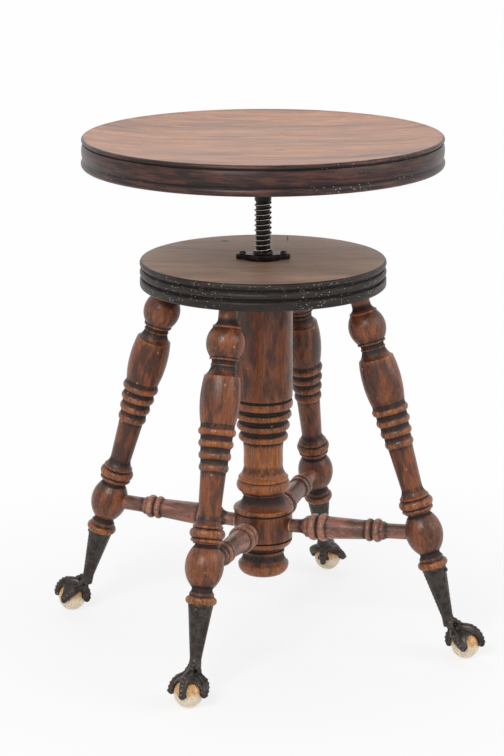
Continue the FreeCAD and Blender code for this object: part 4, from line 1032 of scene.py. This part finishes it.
class STOOL_OT_stretchers(bpy.types.Operator):
    """Turn one stretcher and copy it to the four legs"""

    bl_idname = "stool.stretchers"
    bl_label = "Stretchers"

    def execute(self, context):
        # The stretchers take a lighter copy of the turned wood: painted light for the
        # highlights along their tops.
        look = context.scene.stool_stretcher
        ball_out = FERRULE_RADIUS - LOW_BALL * RAKE_SINE
        ball_up = FERRULE_HEIGHT + LOW_BALL * RAKE_COSINE
        rise = math.atan2(ball_up - STRETCHER_HEIGHT, ball_out)
        length = (ball_out - STRETCHER_START) / math.cos(rise) - STRETCHER_SHORT
        first = lathe(
            "stretcher_turned", stretcher_outline(length), 64, look.softness * 0.8
        )
        joint = COLUMN_SIDE - STRETCHER_START
        wood = turned_wood("Stretcher wood", look, 0.1, glue=joint * MM)
        start_up = STRETCHER_HEIGHT + STRETCHER_START * math.tan(rise)
        tilt = 90 - math.degrees(rise)
        for number, (name, corner) in enumerate(CORNERS.items()):
            piece = copy_of(first, f"stretcher_{name}_turned")
            mark_places(piece, (0.23 * number, 0.9 + 0.3 * number, 0))
            finish_mesh(piece, radial_place(corner, STRETCHER_START, start_up, tilt))
            dress(piece, wood)
            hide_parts(f"stretcher_{name}")
            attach(piece, "base")
        bpy.data.objects.remove(first)
        return {"FINISHED"}


# The claw foot, about the centre of its ferrule's rim, pointing out along X. FERRULE
# and PALM lie down the leg's own line. The talons and the arches between them are
# spaced round the ball in degrees, and each arch springs from a height over its middle.

FERRULE = 52.0
PALM = 62.0
BALL_CENTRE = Vector((BALL_THROW, 0, BALL_HEIGHT - FERRULE_HEIGHT))
TALON_SWINGS = (0, 82, 180, -82)
ARCH_SWINGS = (41, 131, -131, -41)
ARCH_HALF = 7.4
ARCH_SPRING = 6.2
CLAW_VOXEL = 0.5
DOWN = Vector((RAKE_SINE, 0, -RAKE_COSINE))
LEAN = Matrix.Rotation(math.radians(-LEG_RAKE), 4, "Y")


class STOOL_OT_feet(bpy.types.Operator):
    """Cast the claw feet: fluted ferrule, arched web and four knuckled talons"""

    bl_idname = "stool.feet"
    bl_label = "Claw feet"

    def execute(self, context):
        look = context.scene.stool_metal
        metal = iron("Claw metal", look, look.claw, look.claw_roughness, 0.8)
        first = self.ferrule()
        parts = [self.web()]
        for swing in TALON_SWINGS:
            parts += self.talon(swing)
        choose(first)
        for part in parts:
            part.select_set(True)
        bpy.ops.object.join()
        one_skin(first, CLAW_VOXEL * MM)
        self.chase(first)
        mark_curvature(first)
        for name, corner in CORNERS.items():
            piece = copy_of(first, f"claw_{name}")
            place = radial_place(corner, FERRULE_RADIUS, FERRULE_HEIGHT, 0)
            piece.data.transform(place)
            smooth(piece)
            dress(piece, metal)
            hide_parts(f"claw_foot_{name}")
            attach(piece, "base")
        bpy.data.objects.remove(first)
        return {"FINISHED"}

    def ferrule(self):
        """The tapered socket and the ankle under it, along the leg's own line."""
        line = Outline()
        line.step(12.8)
        line.run(PALM - FERRULE, 11.6)
        line.run(FERRULE - 0.8, 24.6)
        line.run(0.8, 24.9)
        line.to_axis()
        piece = lathe("claw_casting", line, 48, 0.4)
        piece.data.transform(LEAN @ Matrix.Translation((0, 0, -PALM * MM)))
        return piece

    def web(self):
        """A thick cap over the ball, cut away in four arches between the talons."""
        radius = BALL_DIA / 2 + 3.0
        deselect()
        bpy.ops.mesh.primitive_uv_sphere_add(
            segments=96, ring_count=64, radius=radius * MM, location=(0, 0, 0)
        )
        cap = named("claw_web")
        bpy.ops.object.mode_set(mode="EDIT")
        bpy.ops.mesh.select_all(action="DESELECT")
        shape = bmesh.from_edit_mesh(cap.data)
        for vertex in shape.verts:
            vertex.select = self.in_arch(vertex.co / MM)
        shape.select_flush_mode()
        bmesh.update_edit_mesh(cap.data)
        bpy.ops.mesh.delete(type="VERT")
        bpy.ops.object.mode_set(mode="OBJECT")
        apply_modifier(cap, "SOLIDIFY", thickness=2.7 * MM, offset=-1)
        cap.data.transform(Matrix.Translation(BALL_CENTRE * MM))
        return cap

    def in_arch(self, spot):
        if spot.z < 0.5:
            return True
        for swing in ARCH_SWINGS:
            turn = math.radians(swing)
            out = spot.x * math.cos(turn) + spot.y * math.sin(turn)
            across = spot.y * math.cos(turn) - spot.x * math.sin(turn)
            if out > 0 and abs(across) < ARCH_HALF:
                if spot.z < ARCH_SPRING + math.sqrt(ARCH_HALF**2 - across**2):
                    return True
        return False

    def talon(self, swing):
        """A toe bent over the ball, with a row of small knuckles along its back."""
        turn = math.radians(swing)
        root = (DOWN * PALM - BALL_CENTRE).normalized()
        reach = math.radians(88.0 - 6.0 * math.cos(turn))
        tip = Vector(
            (
                math.sin(reach) * math.cos(turn),
                math.sin(reach) * math.sin(turn),
                math.cos(reach),
            )
        )
        spread = root.angle(tip)
        stations = max(8, round(math.degrees(spread) / 6))
        toe = []
        for number in range(stations + 1):
            share = number / stations
            heading = root.slerp(tip, share)
            width = 3.6 + 1.0 * math.sin(math.pi * min(share * 1.1, 1)) - 0.1 * share
            gap = 3.8 - 1.3 * share
            spot = BALL_CENTRE + heading * (BALL_DIA / 2 + gap)
            toe.append(self.lump(spot, width, 14))
            if share > 0.42 and number % 2 == 0:
                crown = BALL_CENTRE + heading * (BALL_DIA / 2 + gap + width * 0.80)
                toe.append(self.lump(crown, 1.75, 10))
        ankle = DOWN * FERRULE
        onto = BALL_CENTRE + root.slerp(tip, 0.36) * (BALL_DIA / 2 + 3.2)
        for number in range(6):
            share = number / 5
            toe.append(self.lump(ankle.lerp(onto, share), 3.2 - 0.5 * share, 12))
        return toe

    def lump(self, spot, radius, segments):
        deselect()
        bpy.ops.mesh.primitive_uv_sphere_add(
            segments=segments,
            ring_count=segments // 2,
            radius=radius * MM,
            location=spot * MM,
        )
        piece = bpy.context.object
        bpy.ops.object.transform_apply(location=True)
        return piece

    def chase(self, piece):
        """Cut the leaf-like flutes of the ferrule and roughen the casting."""
        upright = LEAN.inverted()
        for vertex in piece.data.vertices:
            spot = upright @ vertex.co
            down = -spot.z / MM
            around = Vector((spot.x, spot.y, 0))
            if not 1.5 < down < FERRULE + 4 or around.length < 3.5 * MM:
                continue
            angle = math.atan2(spot.y, spot.x)
            fade = min((down - 1.5) / 3.0, (FERRULE + 4 - down) / 10.0, 1.0)
            ridge = abs(math.sin(angle * 3))
            flute = ridge**0.6
            barbs = math.sin(down * 1.5 + 9.0 * ridge)
            sink = 0.55 * (1 - flute) + 0.14 * (1 + barbs) * flute
            rough = 0.10 * noise.noise(vertex.co * 900)
            moved = spot - around.normalized() * (sink + rough) * fade * MM
            vertex.co = LEAN @ moved


# The rise of a point above its neighbours that counts as a full crest.

FULL_CREST = 0.00055 * 0.25


def mark_curvature(piece):
    """Keep how far each point stands proud of its neighbours."""
    mesh = piece.data
    shape = bmesh.new()
    shape.from_mesh(mesh)
    around = [
        [edge.other_vert(vertex) for edge in vertex.link_edges]
        for vertex in shape.verts
    ]
    values = []
    for vertex, near in zip(shape.verts, around):
        middle = sum((other.co for other in near), Vector()) / max(len(near), 1)
        rise = (vertex.co - middle).dot(vertex.normal) if near else 0.0
        values.append(rise / FULL_CREST)
    for _ in range(3):
        values = [
            (value + sum(values[other.index] for other in near)) / (len(near) + 1)
            for value, near in zip(values, around)
        ]
    shape.free()
    crest = mesh.attributes.new("crest", "FLOAT", "POINT")
    crest.data.foreach_set("value", [max(-1.0, min(1.0, value)) for value in values])


class STOOL_OT_balls(bpy.types.Operator):
    """Blow the glass balls, each with its small worn flat"""

    bl_idname = "stool.balls"
    bl_label = "Glass balls"

    def execute(self, context):
        glass = old_glass("Old glass", context.scene.stool_glass)
        for number, (name, corner) in enumerate(CORNERS.items()):
            deselect()
            bpy.ops.mesh.primitive_uv_sphere_add(
                segments=64, ring_count=40, radius=BALL_DIA / 2 * MM, location=(0, 0, 0)
            )
            piece = named(f"ball_{name}")
            bpy.ops.object.mode_set(mode="EDIT")
            bpy.ops.mesh.select_all(action="SELECT")
            bpy.ops.mesh.bisect(
                plane_co=(0, 0, -BALL_HEIGHT * MM),
                plane_no=(0, 0, 1),
                use_fill=True,
                clear_inner=True,
            )
            bpy.ops.object.mode_set(mode="OBJECT")
            mark_places(piece, (0, 0, 0))
            turn = Matrix.Rotation(1.3 * number, 4, "Z")
            out = FERRULE_RADIUS + BALL_THROW
            finish_mesh(piece, radial_place(corner, out, BALL_HEIGHT, 0) @ turn, 60)
            dress(piece, glass)
            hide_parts(f"glass_ball_{name}")
            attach(piece, "base")
        return {"FINISHED"}


# Heights along the lead screw, and the section of its thread as radius and height.

SCREW_END = 305.8
THREAD_START = 318.9
THREAD_TOP = 453.0
SHANK_TOP = 472.5
NECK_TOP = 485.5
THREAD_SECTION = (
    (7.1, 0.0),
    (7.3, 0.55),
    (8.45, 1.15),
    (8.72, 1.4),
    (8.8, 1.75),
    (8.72, 2.1),
    (8.45, 2.35),
    (7.3, 2.95),
    (7.1, 3.5),
)


class STOOL_OT_lead_screw(bpy.types.Operator):
    """Cut the lead screw's coarse thread on its core, with the plain shank above"""

    bl_idname = "stool.lead_screw"
    bl_label = "Lead screw"

    def execute(self, context):
        look = context.scene.stool_metal
        core = Outline()
        core.step(11.0)
        core.run(0.5, 12.0)
        core.run_to(THREAD_START - SCREW_END, 12.0)
        core.step(14.4)
        core.run_to(THREAD_TOP - SCREW_END, 14.4)
        core.step(16.8)
        core.run_to(SHANK_TOP - SCREW_END, 16.8)
        core.step(14.0)
        core.run_to(NECK_TOP - SCREW_END, 14.0)
        core.run_to(SEAT_UNDERSIDE - SCREW_END, 20.0)
        core.to_axis()
        piece = lathe("lead_screw_core", core, 48, 0.3)
        piece.data.transform(Matrix.Translation((0, 0, SCREW_END * MM)))
        thread = self.thread(look.thread_pitch)
        choose(piece)
        thread.select_set(True)
        bpy.ops.object.join()
        piece = named("lead_screw_cut")
        mark_screw(piece)
        choose(piece)
        bpy.ops.object.shade_smooth_by_angle(angle=math.radians(35))
        dress(piece, iron("Screw metal", look, look.black, 0.3, 0.8))
        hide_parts("lead_screw")
        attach(piece, "seat")
        return {"FINISHED"}

    def thread(self, pitch):
        """The thread's section wound up the core."""
        section = [Vector(spot) * MM for spot in THREAD_SECTION]
        ridge = traced("lead_screw_thread", section)
        bpy.ops.mesh.edge_face_add()
        bpy.ops.object.mode_set(mode="OBJECT")
        turns = int((THREAD_TOP - THREAD_START - 4.0) * MM / pitch)
        apply_modifier(
            ridge,
            "SCREW",
            angle=math.tau,
            screw_offset=pitch,
            iterations=turns,
            steps=48,
            render_steps=48,
            axis="Z",
            use_merge_vertices=True,
            merge_threshold=1e-6,
        )
        start = THREAD_TOP * MM - turns * pitch - 3.5 * MM
        ridge.data.transform(Matrix.Translation((0, 0, start)))
        return ridge


def mark_screw(piece):
    """Crest where the thread stands out from its core, where the metal shows painted
    glints.
    """
    mesh = piece.data
    if "crest" in mesh.attributes:
        mesh.attributes.remove(mesh.attributes["crest"])
    crest = mesh.attributes.new("crest", "FLOAT", "POINT")
    values = []
    for vertex in mesh.vertices:
        radius = math.hypot(vertex.co.x, vertex.co.y) / MM
        proud = (radius - 8.2) / 0.7 if vertex.co.z < THREAD_TOP * MM else 0.0
        values.append(max(-1.0, min(1.0, proud)))
    crest.data.foreach_set("value", values)


class STOOL_OT_castings(bpy.types.Operator):
    """Soften the nut plate and the seat plate as castings"""

    bl_idname = "stool.castings"
    bl_label = "Castings"

    def execute(self, context):
        look = context.scene.stool_metal
        metal = iron("Black iron", look, look.black, 0.36, 0.25)
        for node, body, voxel in (
            ("nut_plate", "base", 0.4),
            ("seat_plate", "seat", 0.8),
        ):
            piece = copy_of(frame["nodes"][node], f"{node}_cast")
            piece.parent = None
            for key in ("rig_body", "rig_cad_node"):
                if key in piece:
                    del piece[key]
            choose(piece)
            bpy.ops.object.mode_set(mode="EDIT")
            bpy.ops.mesh.select_all(action="SELECT")
            bpy.ops.mesh.remove_doubles(threshold=1e-6)
            bpy.ops.object.mode_set(mode="OBJECT")
            one_skin(piece, voxel * MM)
            mark_curvature(piece)
            smooth(piece)
            dress(piece, metal)
            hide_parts(node)
            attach(piece, body)
        for node in ("stop_washer", "stop_pin"):
            dress(frame["nodes"][node], metal)
        return {"FINISHED"}


class STOOL_OT_fasteners(bpy.types.Operator):
    """Finish the small screws and nails"""

    bl_idname = "stool.fasteners"
    bl_label = "Fasteners"

    def execute(self, context):
        look = context.scene.stool_metal
        steel = iron("Screw steel", look, look.claw, 0.35, 0.3)
        for node in ("nut_plate_screws", "seat_plate_screws", "ferrule_nails"):
            dress(frame["nodes"][node], steel)
        return {"FINISHED"}


# Name, place, size and power of each lamp.

LAMPS = (
    ("key_lamp", (-1.7, -1.7, 1.9), 1.1, 40),
    ("fill_lamp", (1.6, -1.5, 1.3), 1.4, 14),
    ("back_lamp", (0.7, 2.0, 2.2), 2.0, 12),
)


class STOOL_OT_stage(bpy.types.Operator):
    """Lay the pale floor, hang the soft lamps and stand the camera"""

    bl_idname = "stool.stage"
    bl_label = "Stage"

    def execute(self, context):
        look = context.scene.stool_stage
        deselect()
        bpy.ops.mesh.primitive_plane_add(size=24, location=(0, 0, 0))
        floor = named("floor")
        dress(floor, self.floor_paint(look))
        for lamp in LAMPS:
            self.hang(*lamp)
        self.daylight(context.scene)
        self.camera(context.scene, look)
        return {"FINISHED"}

    def floor_paint(self, look):
        """White paint that keeps the shadow near the stool and fades to plain white."""
        material, tree, shader = new_material("Floor paint")
        paint = {"Base Color": linear(look.floor), "Roughness": 0.7}
        feed(tree, shader, {**paint, "Specular IOR Level": 0.1})
        near_to_far = ramped(tree, distance(tree, own_place(tree)), 0.2, 0.6, 0.75, 1)
        share = times(tree, near_to_far, looked_at(tree))
        white = {"Color": (0.99, 0.99, 0.99, 1), "Strength": 1.0}
        glow = add_node(tree, "Emission", white)[0]
        both = add_node(tree, "MixShader", {0: share, 1: shader.outputs[0], 2: glow})
        feed(tree, tree.nodes["Material Output"], {"Surface": both[0]})
        return material

    def hang(self, name, place, size, power):
        deselect()
        bpy.ops.object.light_add(type="AREA", location=place)
        lamp = bpy.context.object
        lamp.name = name
        lamp.data.shape = "SQUARE"
        lamp.data.size = size
        lamp.data.energy = power
        aim = Vector((0, 0, 0.28)) - Vector(place)
        lamp.rotation_euler = aim.to_track_quat("-Z", "Y").to_euler()

    def daylight(self, scene):
        world = bpy.data.worlds.new("Daylight")
        scene.world = world
        world.use_nodes = True
        tree = world.node_tree
        strength = blend(tree, looked_at(tree), 0.5, 0.5)
        sky = {"Color": (0.97, 0.98, 1.0, 1), "Strength": strength}
        feed(tree, tree.nodes["Background"], sky)

    def camera(self, scene, look):
        deselect()
        bpy.ops.object.camera_add(location=look.camera_place)
        camera = bpy.context.object
        camera.name = "view_camera"
        turn, tilt, roll = look.camera_turn
        camera.rotation_euler = (
            Matrix.Rotation(turn, 3, "Z")
            @ Matrix.Rotation(tilt, 3, "X")
            @ Matrix.Rotation(roll, 3, "Z")
        ).to_euler()
        camera.data.sensor_fit = "HORIZONTAL"
        camera.data.sensor_width = 36
        camera.data.lens = look.lens
        camera.data.clip_start = 0.05
        camera.data.clip_end = 60
        scene.camera = camera
        scene.view_settings.view_transform = "Standard"


class STOOL_PT_panel(bpy.types.Panel):
    """Buttons that build the stool piece by piece"""

    bl_idname = "STOOL_PT_panel"
    bl_label = "Revolving Piano Stool"
    bl_space_type = "VIEW_3D"
    bl_region_type = "UI"
    bl_category = "Stool"

    def draw(self, context):
        for operator in OPERATORS:
            self.layout.operator(operator.bl_idname)


OPERATORS = (
    STOOL_OT_seat,
    STOOL_OT_platform,
    STOOL_OT_column,
    STOOL_OT_legs,
    STOOL_OT_stretchers,
    STOOL_OT_feet,
    STOOL_OT_balls,
    STOOL_OT_lead_screw,
    STOOL_OT_castings,
    STOOL_OT_fasteners,
    STOOL_OT_stage,
)

LOOKS = {
    "stool_turned": TurnedLook,
    "stool_stretcher": TurnedLook,
    "stool_seat": DiscLook,
    "stool_platform": DiscLook,
    "stool_metal": MetalLook,
    "stool_glass": GlassLook,
    "stool_stage": StageLook,
}

# Looks that depart from their group's defaults.

OWN_LOOKS = {
    "stool_platform": {
        "top": (0.66, 0.565, 0.49),
        "top_dark": (0.54, 0.45, 0.385),
        "top_pale": (0.74, 0.645, 0.56),
        "rim": (0.12, 0.10, 0.09),
        "rim_warm": (0.20, 0.16, 0.14),
        "top_roughness": 0.55,
        "rim_roughness": 0.42,
    },
    # Painted light: the stretchers' stain, warm and rubbed colours are lighter and
    # pinker than the other turned wood, standing in for the light along their tops.
    "stool_stretcher": {
        "stain": (0.38, 0.255, 0.215),
        "warm": (0.64, 0.43, 0.35),
        "rubbed": (0.78, 0.55, 0.42),
    },
}

CLASSES = (TurnedLook, DiscLook, MetalLook, GlassLook, StageLook) + OPERATORS + (
    STOOL_PT_panel,
)


def register():
    for kind in CLASSES:
        bpy.utils.register_class(kind)
    for name, kind in LOOKS.items():
        setattr(bpy.types.Scene, name, bpy.props.PointerProperty(type=kind))


def unregister():
    for name in LOOKS:
        delattr(bpy.types.Scene, name)
    for kind in reversed(CLASSES):
        bpy.utils.unregister_class(kind)


def main():
    register()
    scene = bpy.context.scene
    for group, values in OWN_LOOKS.items():
        for name, value in values.items():
            setattr(getattr(scene, group), name, value)
    deselect()
    for operator in OPERATORS:
        group, name = operator.bl_idname.split(".")
        getattr(getattr(bpy.ops, group), name)()


if __name__ == "__main__":
    main()
